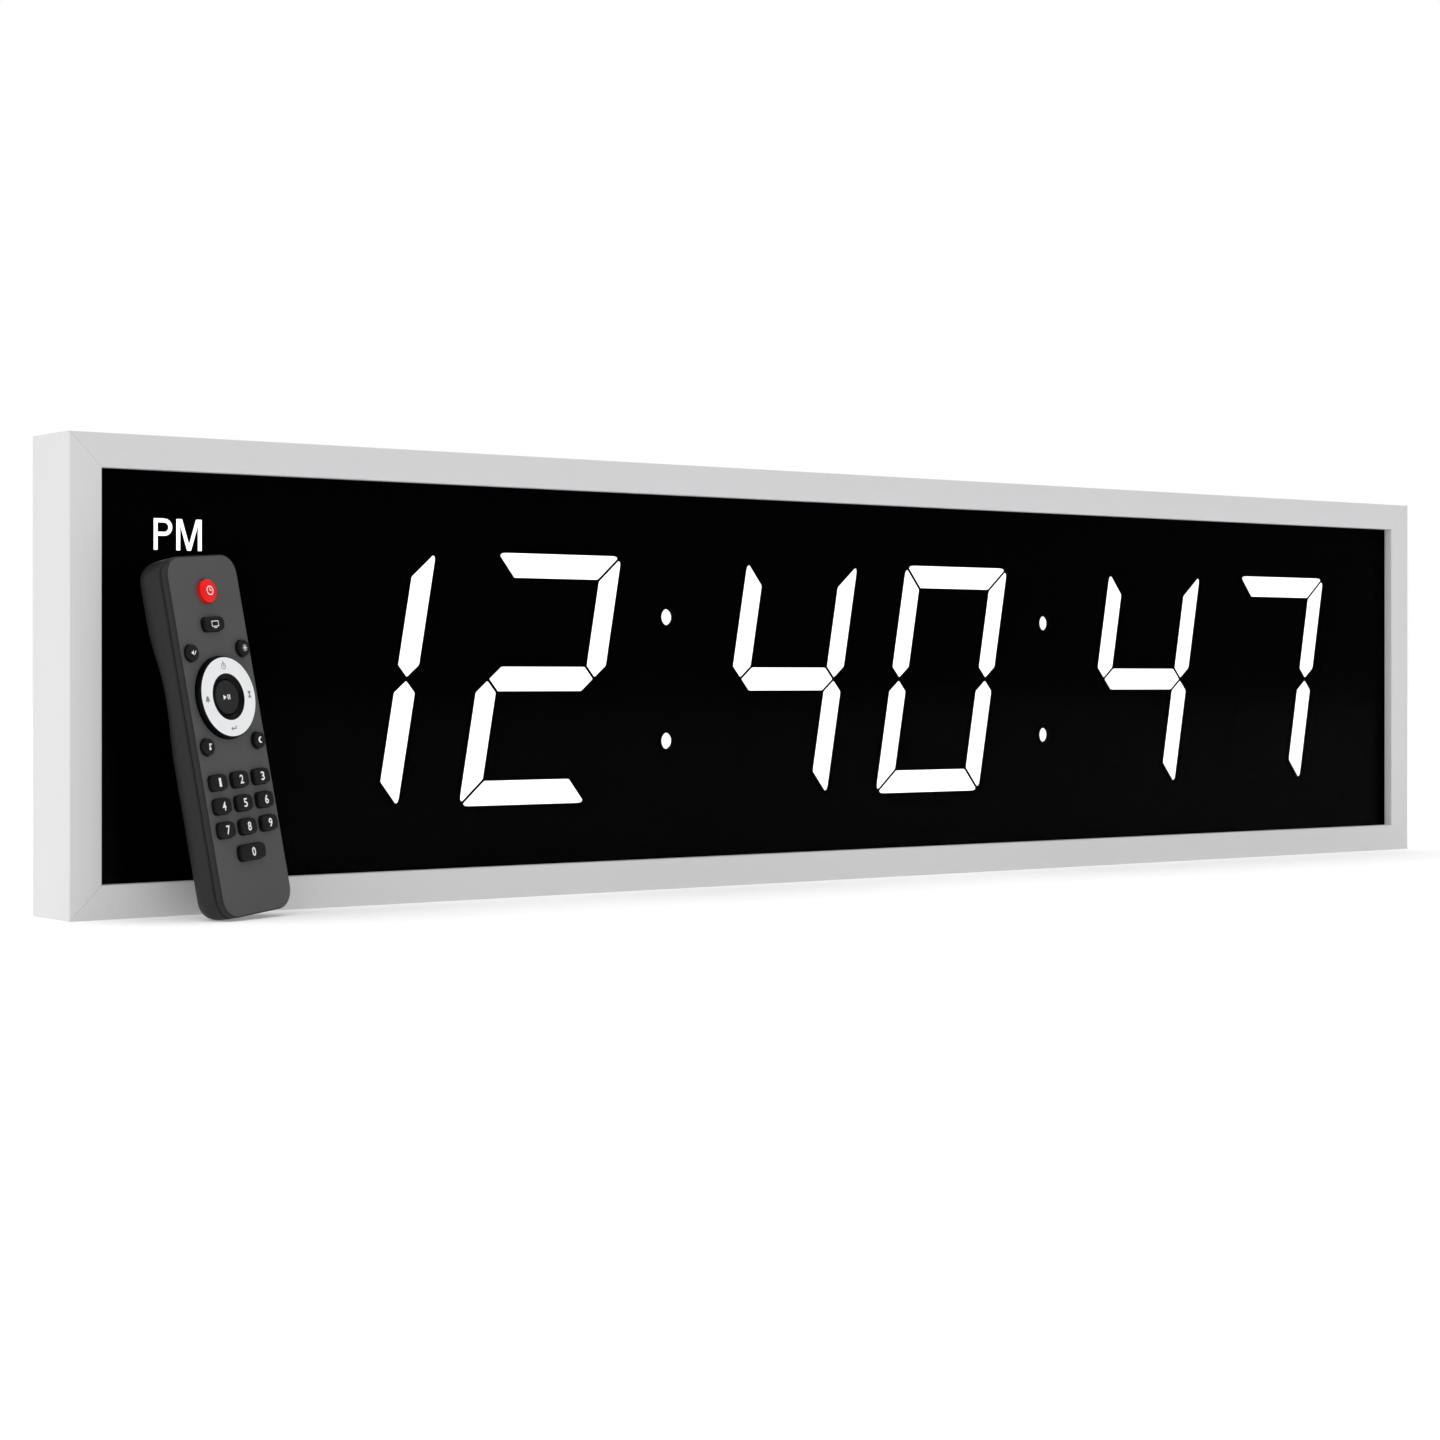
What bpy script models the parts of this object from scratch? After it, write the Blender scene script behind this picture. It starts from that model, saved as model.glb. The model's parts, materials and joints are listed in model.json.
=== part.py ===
"""Wall-mounted LED round timer (six slanted seven-segment digits in a mitred metal frame) with the
remote control that leans on its face. Metres, +Z up. Origin: centre of the timer's underside.
+X runs along the timer, the display faces -Y and the wall side faces +Y."""

import math

import bmesh
import bpy
from mathutils import Matrix, Vector

# ---------------------------------------------------------------- driving dimensions: timer
TIMER_WIDTH = 0.914
TIMER_HEIGHT = 0.219
TIMER_DEPTH = 0.040
BEZEL = 0.0156              # visible width of the frame's front face
WALL = 0.0018               # wall of the frame's extrusion
REVEAL = 0.006              # how far the panel sits behind the frame's front face
LEDGE = 0.0095              # rear flange that the back cover is screwed to, from the outer face
COVER_SET_BACK = 0.0016     # the cover lies inside the frame's rear edge, so its screws clear a wall

PANEL_THICK = 0.003
MASK_THICK = 0.004
DIFFUSER_THICK = 0.001
BOARD_THICK = 0.0016
COVER_THICK = 0.0018
LED_GAP = 0.0017            # air between a diffuser and its LED board
LED_RISE = 0.0012           # height of the LEDs on their board
LED_STRIP = 0.0035          # width of a segment's row of LEDs

DIGIT_HEIGHT = 0.1256
DIGIT_WIDTH = 0.0758
DIGIT_SLANT = math.radians(10.0)
DIGIT_PITCH = 0.1108        # between the two digits of a pair
PAIR_PITCH = 0.2685         # between pairs
PAIRS_SHIFT = 0.0145        # the row of pairs sits this far right of the middle
DIGIT_DROP = 0.0012         # the row of digits sits this far below mid height
BAR_ACROSS = 0.0122         # thickness of a level segment
BAR_UPRIGHT = 0.0117        # thickness of an upright segment
BAR_GAP = 0.0013            # web of the mask between neighbouring segments
BAR_CORNER = 0.005          # outer corner radius of a digit
MODULE_SIDE = 0.0016        # a display module reaches this far past its digits, left and right
MODULE_END = 0.0032         # and this far above and below them
COLON_RADIUS = 0.0046
COLON_SPREAD = 0.0643       # between a colon's two dots
LEGEND_WIDTH = 0.027        # window of the half-day legend
LEGEND_HEIGHT = 0.017
LEGEND_IN = 0.0576          # its middle, in from the frame's left side
LEGEND_DOWN = 0.0443        # and down from the frame's top

BRACKET_ARM = 0.040
BRACKET_WIDTH = 0.010
BRACKET_THICK = 0.0032
COVER_SCREW_IN = 0.067      # in from the frame's ends
SCREW_SHAFT = 0.00145
SCREW_HEAD = 0.0032
SCREW_HEAD_THICK = 0.0013
SCREW_LENGTH = 0.009
SCREW_PLAY = 0.0002
HANG_SPACING = 0.600
HANG_DOWN = 0.047           # from the frame's top to a keyhole's mouth
KEYHOLE_MOUTH = 0.0048      # radius that a wall screw's head passes
KEYHOLE_SLOT = 0.0024       # half width that the screw's shank slides in
KEYHOLE_RISE = 0.011
HANGER_WIDTH = 0.060
HANGER_HEIGHT = 0.034
HANGER_THICK = 0.0013
VENT_LENGTH = 0.030
VENT_WIDTH = 0.003
VENT_PITCH = 0.008
VENT_COUNT = 6
VENT_X = 0.170
VENT_Z = 0.060
JACK_X = -0.120
JACK_Z = 0.036
JACK_BODY = 0.0054          # radii of the power inlet
JACK_NOSE = 0.0039
JACK_BORE = 0.00315
JACK_PIN = 0.0010
JACK_LENGTH = 0.0105
CONTROL_WIDTH = 0.160
CONTROL_HEIGHT = 0.080
CONTROL_ROOM = 0.0025       # air between the control board's tallest component and the cover
BUZZER_RADIUS = 0.006
BUZZER_HEIGHT = 0.0065
CELL_RADIUS = 0.010
CELL_HEIGHT = 0.0032
RECEIVER_IN = 0.052         # in from the frame's right side
RECEIVER_Z = 0.034
RECEIVER_SIZE = 0.0062

# ---------------------------------------------------------------- driving dimensions: remote
REMOTE_LENGTH = 0.164
REMOTE_WIDTH = 0.048
REMOTE_THICK = 0.0176
REMOTE_CORNER = 0.0095
REMOTE_WALL = 0.0015
HEAD_THICK = 0.0195
NECK_AT = 0.041             # where the grip thickens towards the head
NECK_SPAN = 0.030
WAIST_DEPTH = 0.0019        # how much thinner the waist of the grip is than its tail
WAIST_AT = 0.020
WAIST_SPAN = 0.062
FRONT_DEPTH = 0.0042        # front shell, face to parting line
PARTING_GAP = 0.0003
REMOTE_YAW = math.radians(21.7)
REMOTE_LEAN = math.radians(9.0)
REMOTE_ROLL = math.radians(4.2)
REMOTE_X = -0.3920

KEY_TRAVEL = 0.0008
KEY_RISE = 0.0024
KEY_PLAY = 0.0003
KEY_LIP = 0.0005            # flange that keeps a key in its hole
KEY_MARGIN = 0.0039         # from the outer digit keys to the remote's sides
KEY_SPACE = 0.0039          # between digit keys across a row
KEY_HEIGHT = 0.0070
KEY_CORNER = 0.0022
KEY_EDGE = 0.0004           # softened top edge
ROW_PITCH = 0.01075
FIRST_ROW = -0.0210
ZERO_ROW = -0.0541
ZERO_WIDTH = 0.0172
CLOCK_AT = 0.0654
CLOCK_RADIUS = 0.0054
CLOCK_RISE = 0.0027
DISPLAY_AT = 0.0502
DISPLAY_WIDTH = 0.0135
DISPLAY_HEIGHT = 0.0064
SIDE_KEY_MARGIN = 0.0027    # from a side key to the remote's side
SIDE_KEY_RADIUS = 0.0038
UPPER_SIDE_ROW = 0.0380
LOWER_SIDE_ROW = -0.0046
RING_AT = 0.0166
RING_MARGIN = 0.0054        # from the ring to the remote's sides
RING_HOLE = 0.0081
RING_INNER = 0.0107         # inner radius of the ring's flat top, which slopes down to its hole
RING_SLOPE = 0.0012
RING_EDGE = 0.0006
RING_RISE = 0.0030
RING_SINK = 0.0012
RING_PLAY = 0.0005
CENTRE_RADIUS = 0.0078
CENTRE_RISE = 0.0022

MAT_THICK = 0.0004
REMOTE_BOARD_THICK = 0.0008
BATTERY_RADIUS = 0.00525
BATTERY_LENGTH = 0.0445
BATTERY_NUB = 0.0010
BATTERY_NUB_RADIUS = 0.0019
BATTERY_TOP = -0.0285       # upper end of the battery bay
DOOR_WIDTH = 0.0294
DOOR_TOP = -0.0190
CONTACT_THICK = 0.0004
SPRING_LENGTH = 0.0020
EMITTER_RADIUS = 0.0025
EMITTER_LENGTH = 0.0110
EMITTER_DEPTH = 0.0085      # below the face

CLEARANCE = 0.0003          # between pieces that touch
MITRE_GAP = 0.0002

FACING_FRONT = (math.pi / 2, 0.0, 0.0)  # turns a plate drawn in XY to stand in XZ, its front to -Y

# layers of the timer, front to back
FRONT = -TIMER_DEPTH / 2
BACK = TIMER_DEPTH / 2
PANEL_FRONT = FRONT + REVEAL + CLEARANCE
MASK_FRONT = PANEL_FRONT + PANEL_THICK + CLEARANCE
DIFFUSER_FRONT = MASK_FRONT + MASK_THICK + CLEARANCE
LED_FRONT = DIFFUSER_FRONT + DIFFUSER_THICK + LED_GAP
COVER_BACK = BACK - COVER_SET_BACK
COVER_FRONT = COVER_BACK - COVER_THICK
CONTROL_FRONT = COVER_FRONT - CONTROL_ROOM - BUZZER_HEIGHT - BOARD_THICK
LEDGE_BACK = COVER_FRONT - CLEARANCE
INSIDE = WALL + 0.0004      # where a plate inside the frame stops, from the outer face

# places on the timer's face and back
DIGIT_Z = TIMER_HEIGHT / 2 - DIGIT_DROP
DIGIT_REACH = DIGIT_HEIGHT * math.tan(DIGIT_SLANT)  # how far a digit's top leans past its foot
MODULE_WIDTH = DIGIT_PITCH + DIGIT_WIDTH + DIGIT_REACH + 2 * MODULE_SIDE
MODULE_HEIGHT = DIGIT_HEIGHT + 2 * MODULE_END
LEGEND_X = LEGEND_IN - TIMER_WIDTH / 2
LEGEND_Z = TIMER_HEIGHT - LEGEND_DOWN
RECEIVER_X = TIMER_WIDTH / 2 - RECEIVER_IN
COVER_SCREW_X = TIMER_WIDTH / 2 - COVER_SCREW_IN
HANG_HEIGHT = TIMER_HEIGHT - HANG_DOWN

# places across the remote's face
KEY_WIDTH = (REMOTE_WIDTH - 2 * KEY_MARGIN - 2 * KEY_SPACE) / 3
COLUMN_PITCH = KEY_WIDTH + KEY_SPACE
SIDE_KEY_X = REMOTE_WIDTH / 2 - SIDE_KEY_MARGIN - SIDE_KEY_RADIUS
RING_RADIUS = REMOTE_WIDTH / 2 - RING_MARGIN

# layers of the remote, from its face inwards
FLANGE_TOP = -REMOTE_WALL - CLEARANCE
FLANGE_BOTTOM = FLANGE_TOP - KEY_LIP
MAT_TOP = FLANGE_BOTTOM - KEY_TRAVEL - 0.0001
REMOTE_BOARD_TOP = MAT_TOP - MAT_THICK - 0.0002
REMOTE_BOARD_BOTTOM = REMOTE_BOARD_TOP - REMOTE_BOARD_THICK
BATTERY_AXIS = REMOTE_BOARD_BOTTOM - 0.0004 - BATTERY_RADIUS


# ---------------------------------------------------------------- scene and materials
for existing in list(bpy.data.objects):
    bpy.data.objects.remove(existing)

FINISHES = {
    # name: colour, roughness, metallic, alpha
    "frame_white": ((0.66, 0.66, 0.68), 0.42, 0.0, 1.0),
    "smoked_acrylic": ((0.004, 0.004, 0.005), 0.06, 0.0, 0.55),
    "mask_black": ((0.006, 0.006, 0.006), 0.6, 0.0, 1.0),
    "diffuser_white": ((0.92, 0.92, 0.92), 0.5, 0.0, 1.0),
    "circuit_green": ((0.02, 0.16, 0.06), 0.5, 0.0, 1.0),
    "bracket_steel": ((0.55, 0.55, 0.56), 0.35, 1.0, 1.0),
    "cover_black": ((0.02, 0.02, 0.022), 0.5, 0.3, 1.0),
    "component_black": ((0.015, 0.015, 0.016), 0.35, 0.0, 1.0),
    "cell_steel": ((0.7, 0.7, 0.7), 0.25, 1.0, 1.0),
    "remote_black": ((0.075, 0.075, 0.078), 0.5, 0.0, 1.0),
    "key_black": ((0.012, 0.012, 0.013), 0.4, 0.0, 1.0),
    "key_red": ((0.74, 0.012, 0.016), 0.35, 0.0, 1.0),
    "ring_white": ((0.82, 0.85, 0.86), 0.35, 0.0, 1.0),
    "mat_grey": ((0.2, 0.2, 0.2), 0.8, 0.0, 1.0),
    "battery_wrap": ((0.05, 0.22, 0.12), 0.3, 0.2, 1.0),
    "contact_nickel": ((0.72, 0.7, 0.66), 0.25, 1.0, 1.0),
    "emitter_clear": ((0.1, 0.09, 0.14), 0.1, 0.0, 1.0),
}


def make_material(name):
    colour, roughness, metallic, alpha = FINISHES[name]
    material = bpy.data.materials.new(name)
    material.use_nodes = True
    shader = material.node_tree.nodes["Principled BSDF"]
    shader.inputs["Base Color"].default_value = (*colour, 1.0)
    shader.inputs["Roughness"].default_value = roughness
    shader.inputs["Metallic"].default_value = metallic
    shader.inputs["Alpha"].default_value = alpha
    return material


def own_material(node, finish):
    """Each sub-part has its own copy of its finish."""
    material = make_material(finish)
    material.name = node + "_" + finish
    return material


# ---------------------------------------------------------------- mesh helpers
def mesh_from(name, bm, smooth=False):
    bmesh.ops.recalc_face_normals(bm, faces=bm.faces)
    mesh = bpy.data.meshes.new(name)
    bm.to_mesh(mesh)
    bm.free()
    if smooth:
        mesh.shade_smooth()
        mesh.set_sharp_from_angle(angle=math.radians(35))
    return mesh


def plate_mesh(name, outlines, low, high, smooth=False):
    """Flat outlines in XY (an edge with its holes, or separate pads), filled from Z low to high."""
    curve = bpy.data.curves.new(name, "CURVE")
    curve.dimensions = "2D"
    curve.fill_mode = "BOTH"
    curve.extrude = (high - low) / 2
    for outline in outlines:
        spline = curve.splines.new("POLY")
        spline.points.add(len(outline) - 1)
        spline.use_cyclic_u = True
        for point, (x, y) in zip(spline.points, outline):
            point.co = (x, y, 0.0, 1.0)
    holder = bpy.data.objects.new(name, curve)
    filled = bpy.data.meshes.new_from_object(holder)
    bpy.data.objects.remove(holder)
    bpy.data.curves.remove(curve)
    bm = bmesh.new()
    bm.from_mesh(filled)
    bpy.data.meshes.remove(filled)
    bmesh.ops.remove_doubles(bm, verts=bm.verts, dist=1e-6)
    bmesh.ops.translate(bm, verts=bm.verts, vec=(0, 0, (low + high) / 2))
    return mesh_from(name, bm, smooth)


def loft_mesh(name, loops, smooth=True):
    """Closed skin through loops of equal length, each symmetric about X=0, ends capped in strips."""
    bm = bmesh.new()
    rings = [[bm.verts.new(point) for point in loop] for loop in loops]
    count = len(rings[0])
    for ring, following in zip(rings, rings[1:]):
        for i in range(count):
            j = (i + 1) % count
            bm.faces.new((ring[i], ring[j], following[j], following[i]))
    for ring in (rings[0], rings[-1]):
        for i in range(count // 2 - 1):
            bm.faces.new((ring[i], ring[i + 1], ring[count - 2 - i], ring[count - 1 - i]))
    return mesh_from(name, bm, smooth)


def turned_mesh(name, profile, sides=20):
    """Solid turned about Z from (radius, height) points, the first and last on the axis."""
    bm = bmesh.new()
    rings = []
    for radius, height in profile[1:-1]:
        ring = []
        for i in range(sides):
            angle = 2 * math.pi * i / sides
            ring.append(bm.verts.new((radius * math.cos(angle), radius * math.sin(angle), height)))
        rings.append(ring)
    first = bm.verts.new((0, 0, profile[0][1]))
    last = bm.verts.new((0, 0, profile[-1][1]))
    for i in range(sides):
        j = (i + 1) % sides
        bm.faces.new((first, rings[0][j], rings[0][i]))
        bm.faces.new((last, rings[-1][i], rings[-1][j]))
        for ring, following in zip(rings, rings[1:]):
            bm.faces.new((ring[i], ring[j], following[j], following[i]))
    return mesh_from(name, bm, smooth=True)


def add(name, mesh, finish, location=(0, 0, 0), rotation=(0, 0, 0), parent=None):
    thing = bpy.data.objects.new(name, mesh)
    bpy.context.scene.collection.objects.link(thing)
    thing.location = location
    thing.rotation_euler = rotation
    thing.parent = parent
    mesh.materials.clear()
    mesh.materials.append(own_material(name, finish))
    return thing


def add_helper(name, mesh, like):
    """A shape that only cuts or joins, in the same place as the piece it works on."""
    helper = bpy.data.objects.new(name, mesh)
    bpy.context.scene.collection.objects.link(helper)
    helper.location = like.location
    helper.rotation_euler = like.rotation_euler
    helper.parent = like.parent
    helper.hide_render = True
    helper.display_type = "WIRE"
    return helper


def combine(thing, helper_mesh, operation):
    helper = add_helper(thing.name + "_" + operation.lower(), helper_mesh, thing)
    modifier = thing.modifiers.new(operation.title(), "BOOLEAN")
    modifier.operation = operation
    modifier.object = helper
    modifier.solver = "EXACT"


# ---------------------------------------------------------------- outline helpers
def rectangle(centre_x, centre_y, width, height):
    x = width / 2
    y = height / 2
    corners = ((-x, -y), (x, -y), (x, y), (-x, y))
    return [(centre_x + dx, centre_y + dy) for dx, dy in corners]


def circle(centre_x, centre_y, radius, sides=20):
    points = []
    for i in range(sides):
        angle = 2 * math.pi * i / sides
        points.append((centre_x + radius * math.cos(angle), centre_y + radius * math.sin(angle)))
    return points


def rounded_rectangle(centre_x, centre_y, width, height, corner, steps=4):
    points = []
    for quarter, (sx, sy) in enumerate(((1, 1), (-1, 1), (-1, -1), (1, -1))):
        for i in range(steps + 1):
            angle = math.pi / 2 * (quarter + i / steps)
            x = sx * (width / 2 - corner) + corner * math.cos(angle)
            y = sy * (height / 2 - corner) + corner * math.sin(angle)
            points.append((centre_x + x, centre_y + y))
    return points


def slot_outline(centre_x, centre_y, length, width):
    return rounded_rectangle(centre_x, centre_y, length, width, width / 2 - 1e-6, steps=3)


def keyhole(centre_x, centre_y, mouth, slot, rise, steps=12):
    """Round mouth with a narrower slot above it, which ends in a half circle."""
    shoulder = math.asin(slot / mouth)
    points = []
    for i in range(steps + 1):
        angle = math.pi / 2 + shoulder + (2 * math.pi - 2 * shoulder) * i / steps
        points.append((centre_x + mouth * math.cos(angle), centre_y + mouth * math.sin(angle)))
    for i in range(5):
        angle = math.pi * i / 4
        points.append((centre_x + slot * math.cos(angle), centre_y + rise + slot * math.sin(angle)))
    return points


def shrunk(outline, distance):
    """A convex outline with every side moved inwards by distance."""
    middle = sum((Vector(point) for point in outline), Vector((0, 0))) / len(outline)
    sides = []
    for here, there in zip(outline, outline[1:] + outline[:1]):
        along = (Vector(there) - Vector(here)).normalized()
        inward = Vector((-along.y, along.x))
        if inward.dot(middle - Vector(here)) < 0:
            inward = -inward
        sides.append((Vector(here) + inward * distance, along))
    points = []
    for (start, along), (other, across) in zip(sides[-1:] + sides[:-1], sides):
        cross = along.x * across.y - along.y * across.x
        reach = ((other.x - start.x) * across.y - (other.y - start.y) * across.x) / cross
        points.append(tuple(start + along * reach))
    return points


# ---------------------------------------------------------------- seven-segment digits
def upright_bar():
    """Upper right segment of a digit centred on 0, 0."""
    x = DIGIT_WIDTH / 2
    z = DIGIT_HEIGHT / 2
    split = BAR_GAP / math.sqrt(2)
    tip = split
    shoulder = tip + BAR_UPRIGHT / 2
    points = [(x - BAR_UPRIGHT, z - BAR_ACROSS - split)]
    points.append((x - BAR_UPRIGHT, shoulder))
    points.append((x - BAR_UPRIGHT / 2, tip))
    points.append((x, shoulder))
    for degrees in (0.0, 22.5, 45.0):
        angle = math.radians(degrees)
        drop = split if degrees == 45.0 else 0.0
        corner_x = x - BAR_CORNER + BAR_CORNER * math.cos(angle)
        corner_z = z - BAR_CORNER + BAR_CORNER * math.sin(angle)
        points.append((corner_x, corner_z - drop))
    return points


def level_bar():
    """Top segment of a digit centred on 0, 0."""
    x = DIGIT_WIDTH / 2
    z = DIGIT_HEIGHT / 2
    split = BAR_GAP / math.sqrt(2)
    half = []
    for degrees in (45.0, 67.5, 90.0):
        angle = math.radians(degrees)
        back = split if degrees == 45.0 else 0.0
        corner_x = x - BAR_CORNER + BAR_CORNER * math.cos(angle)
        corner_z = z - BAR_CORNER + BAR_CORNER * math.sin(angle)
        half.append((corner_x - back, corner_z))
    half.insert(0, (x - BAR_UPRIGHT - split, z - BAR_ACROSS))
    return half + [(-px, pz) for px, pz in reversed(half)]


def middle_bar():
    split = BAR_GAP / math.sqrt(2)
    tip = DIGIT_WIDTH / 2 - BAR_UPRIGHT / 2 - split
    z = BAR_ACROSS / 2
    return [(-tip, 0), (z - tip, -z), (tip - z, -z), (tip, 0), (tip - z, z), (z - tip, z)]


def digit_bars(centre_x):
    """The seven segment outlines of one digit, slanted, at its place on the display."""
    upright = upright_bar()
    level = level_bar()
    bars = [level, [(x, -z) for x, z in reversed(level)], middle_bar()]
    for side in (1, -1):
        for half in (1, -1):
            bar = [(side * x, half * z) for x, z in upright]
            bars.append(bar if side * half > 0 else bar[::-1])
    lean = math.tan(DIGIT_SLANT)
    return [[(centre_x + x + z * lean, DIGIT_Z + z) for x, z in bar] for bar in bars]


def pair_bars(pair_x):
    return digit_bars(pair_x - DIGIT_PITCH / 2) + digit_bars(pair_x + DIGIT_PITCH / 2)


def led_strips(pair_x):
    """One slim strip of LEDs behind each of a pair's fourteen segments."""
    lean = math.tan(DIGIT_SLANT)
    across = (DIGIT_WIDTH - BAR_UPRIGHT) / 2
    up = (DIGIT_HEIGHT - BAR_ACROSS) / 2
    level = DIGIT_WIDTH - 3 * BAR_UPRIGHT
    upright = DIGIT_HEIGHT / 2 - 2 * BAR_ACROSS
    strips = [(0, row * up, level, LED_STRIP) for row in (-1, 0, 1)]
    for side in (-1, 1):
        strips += [(side * across, half * up / 2, LED_STRIP, upright) for half in (-1, 1)]
    outlines = []
    for digit_x in (pair_x - DIGIT_PITCH / 2, pair_x + DIGIT_PITCH / 2):
        for x, z, width, height in strips:
            corners = rectangle(x, z, width, height)
            outlines.append([(digit_x + cx + cz * lean, DIGIT_Z + cz) for cx, cz in corners])
    return outlines


def colon_dots(colon_x, radius):
    dots = []
    for rise in (COLON_SPREAD / 2, -COLON_SPREAD / 2):
        dots.append(circle(colon_x, DIGIT_Z + rise, radius, sides=16))
    return dots


PAIRS = {
    "hours": PAIRS_SHIFT - PAIR_PITCH,
    "minutes": PAIRS_SHIFT,
    "seconds": PAIRS_SHIFT + PAIR_PITCH,
}
COLONS = {
    "left": PAIRS_SHIFT - PAIR_PITCH / 2,
    "right": PAIRS_SHIFT + PAIR_PITCH / 2,
}


# ---------------------------------------------------------------- frame
def rail_profile():
    """Section of the frame's extrusion as (depth, distance in from the outer face)."""
    lip_back = FRONT + REVEAL
    ledge_front = LEDGE_BACK - WALL
    return [
        (FRONT, 0),
        (BACK, 0),
        (BACK, WALL),
        (LEDGE_BACK, WALL),
        (LEDGE_BACK, LEDGE),
        (ledge_front, LEDGE),
        (ledge_front, WALL),
        (FRONT + WALL, WALL),
        (FRONT + WALL, BEZEL - WALL),
        (lip_back, BEZEL - WALL),
        (lip_back, BEZEL),
        (FRONT, BEZEL),
    ]


def rail_mesh(name, length):
    """A rail along X with 45 degree mitres, its outer face on Z=0 and the frame's inside at +Z."""
    bm = bmesh.new()
    rings = []
    for end in (-1, 1):
        ring = []
        for depth, inwards in rail_profile():
            reach = length / 2 - inwards - MITRE_GAP
            ring.append(bm.verts.new((end * reach, depth, inwards)))
        rings.append(ring)
    count = len(rings[0])
    for i in range(count):
        j = (i + 1) % count
        bm.faces.new((rings[0][i], rings[0][j], rings[1][j], rings[1][i]))
    for ring in rings:
        bm.faces.new(ring)
    return mesh_from(name, bm)


def screw_holes(name):
    """Two cutters through a long rail's rear flange, in the rail's own frame."""
    radius = SCREW_SHAFT + SCREW_PLAY
    middle = (WALL + LEDGE) / 2
    bm = bmesh.new()
    for x in (-COVER_SCREW_X, COVER_SCREW_X):
        place = Matrix.Translation((x, LEDGE_BACK - WALL / 2, middle))
        turn = Matrix.Rotation(math.pi / 2, 4, "X")
        bmesh.ops.create_cone(
            bm,
            cap_ends=True,
            segments=16,
            radius1=radius,
            radius2=radius,
            depth=WALL * 3,
            matrix=place @ turn,
        )
    return mesh_from(name, bm)


half_width = TIMER_WIDTH / 2
half_height = TIMER_HEIGHT / 2
rail_places = {
    "frame_bottom_rail": (TIMER_WIDTH, (0, 0, 0), 0.0),
    "frame_top_rail": (TIMER_WIDTH, (0, 0, TIMER_HEIGHT), math.pi),
    "frame_left_rail": (TIMER_HEIGHT, (-half_width, 0, half_height), math.pi / 2),
    "frame_right_rail": (TIMER_HEIGHT, (half_width, 0, half_height), -math.pi / 2),
}
for rail_name, (length, place, turn) in rail_places.items():
    rail = add(rail_name, rail_mesh(rail_name, length), "frame_white", place, (0, turn, 0))
    if length == TIMER_WIDTH:
        combine(rail, screw_holes(rail_name + "_holes"), "DIFFERENCE")


def bracket_outline(side_x, side_z):
    """L of the corner at side_x, side_z, inside the channel behind the frame's front face."""
    near = INSIDE
    far = near + BRACKET_WIDTH
    arms = ((near, near), (BRACKET_ARM, near), (BRACKET_ARM, far), (far, far), (far, BRACKET_ARM))
    points = []
    for along, up in arms + ((near, BRACKET_ARM),):
        points.append((side_x * (half_width - along), half_height + side_z * (half_height - up)))
    return points


bracket_front = FRONT + WALL + CLEARANCE
for number, (side_x, side_z) in enumerate(((-1, 1), (1, 1), (1, -1), (-1, -1)), start=1):
    bracket_name = "corner_bracket_" + str(number)
    outline = bracket_outline(side_x, side_z)
    bracket = plate_mesh(bracket_name, [outline], -BRACKET_THICK, 0)
    add(bracket_name, bracket, "bracket_steel", (0, bracket_front, 0), FACING_FRONT)


# ---------------------------------------------------------------- display stack
def inner_outline(inset):
    width = TIMER_WIDTH - 2 * inset
    return rectangle(0, half_height, width, TIMER_HEIGHT - 2 * inset)


panel = plate_mesh("front_panel", [inner_outline(INSIDE)], -PANEL_THICK, 0)
add("front_panel", panel, "smoked_acrylic", (0, PANEL_FRONT, 0), FACING_FRONT)

windows = [inner_outline(INSIDE)]
for pair_x in PAIRS.values():
    windows += pair_bars(pair_x)
for colon_x in COLONS.values():
    windows += colon_dots(colon_x, COLON_RADIUS)
windows.append(rectangle(LEGEND_X, LEGEND_Z, LEGEND_WIDTH, LEGEND_HEIGHT))
windows.append(circle(RECEIVER_X, RECEIVER_Z, RECEIVER_SIZE / 2, sides=12))
mask = plate_mesh("segment_mask", windows, -MASK_THICK, 0)
add("segment_mask", mask, "mask_black", (0, MASK_FRONT, 0), FACING_FRONT)


def padded_plate(name, plate, pads, rise, finish, thickness, front):
    """A plate with raised pads on its front, made one body."""
    thing = add(name, plate_mesh(name, [plate], -thickness, 0), finish, (0, front, 0), FACING_FRONT)
    combine(thing, plate_mesh(name + "_pads", pads, -thickness / 2, rise), "UNION")
    return thing


pad_rise = DIFFUSER_FRONT - MASK_FRONT
for pair_name, pair_x in PAIRS.items():
    module = rectangle(pair_x, DIGIT_Z, MODULE_WIDTH, MODULE_HEIGHT)
    pads = [shrunk(bar, CLEARANCE) for bar in pair_bars(pair_x)]
    padded_plate(
        pair_name + "_diffuser",
        module,
        pads,
        pad_rise,
        "diffuser_white",
        DIFFUSER_THICK,
        DIFFUSER_FRONT,
    )
    padded_plate(
        pair_name + "_led_board",
        module,
        led_strips(pair_x),
        LED_RISE,
        "circuit_green",
        BOARD_THICK,
        LED_FRONT,
    )

for colon_name, colon_x in COLONS.items():
    strip = rectangle(colon_x, DIGIT_Z, COLON_RADIUS * 6, COLON_SPREAD + COLON_RADIUS * 4)
    padded_plate(
        colon_name + "_colon_lens",
        strip,
        colon_dots(colon_x, COLON_RADIUS - CLEARANCE),
        CLEARANCE * 2,
        "diffuser_white",
        DIFFUSER_THICK,
        DIFFUSER_FRONT,
    )

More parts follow.
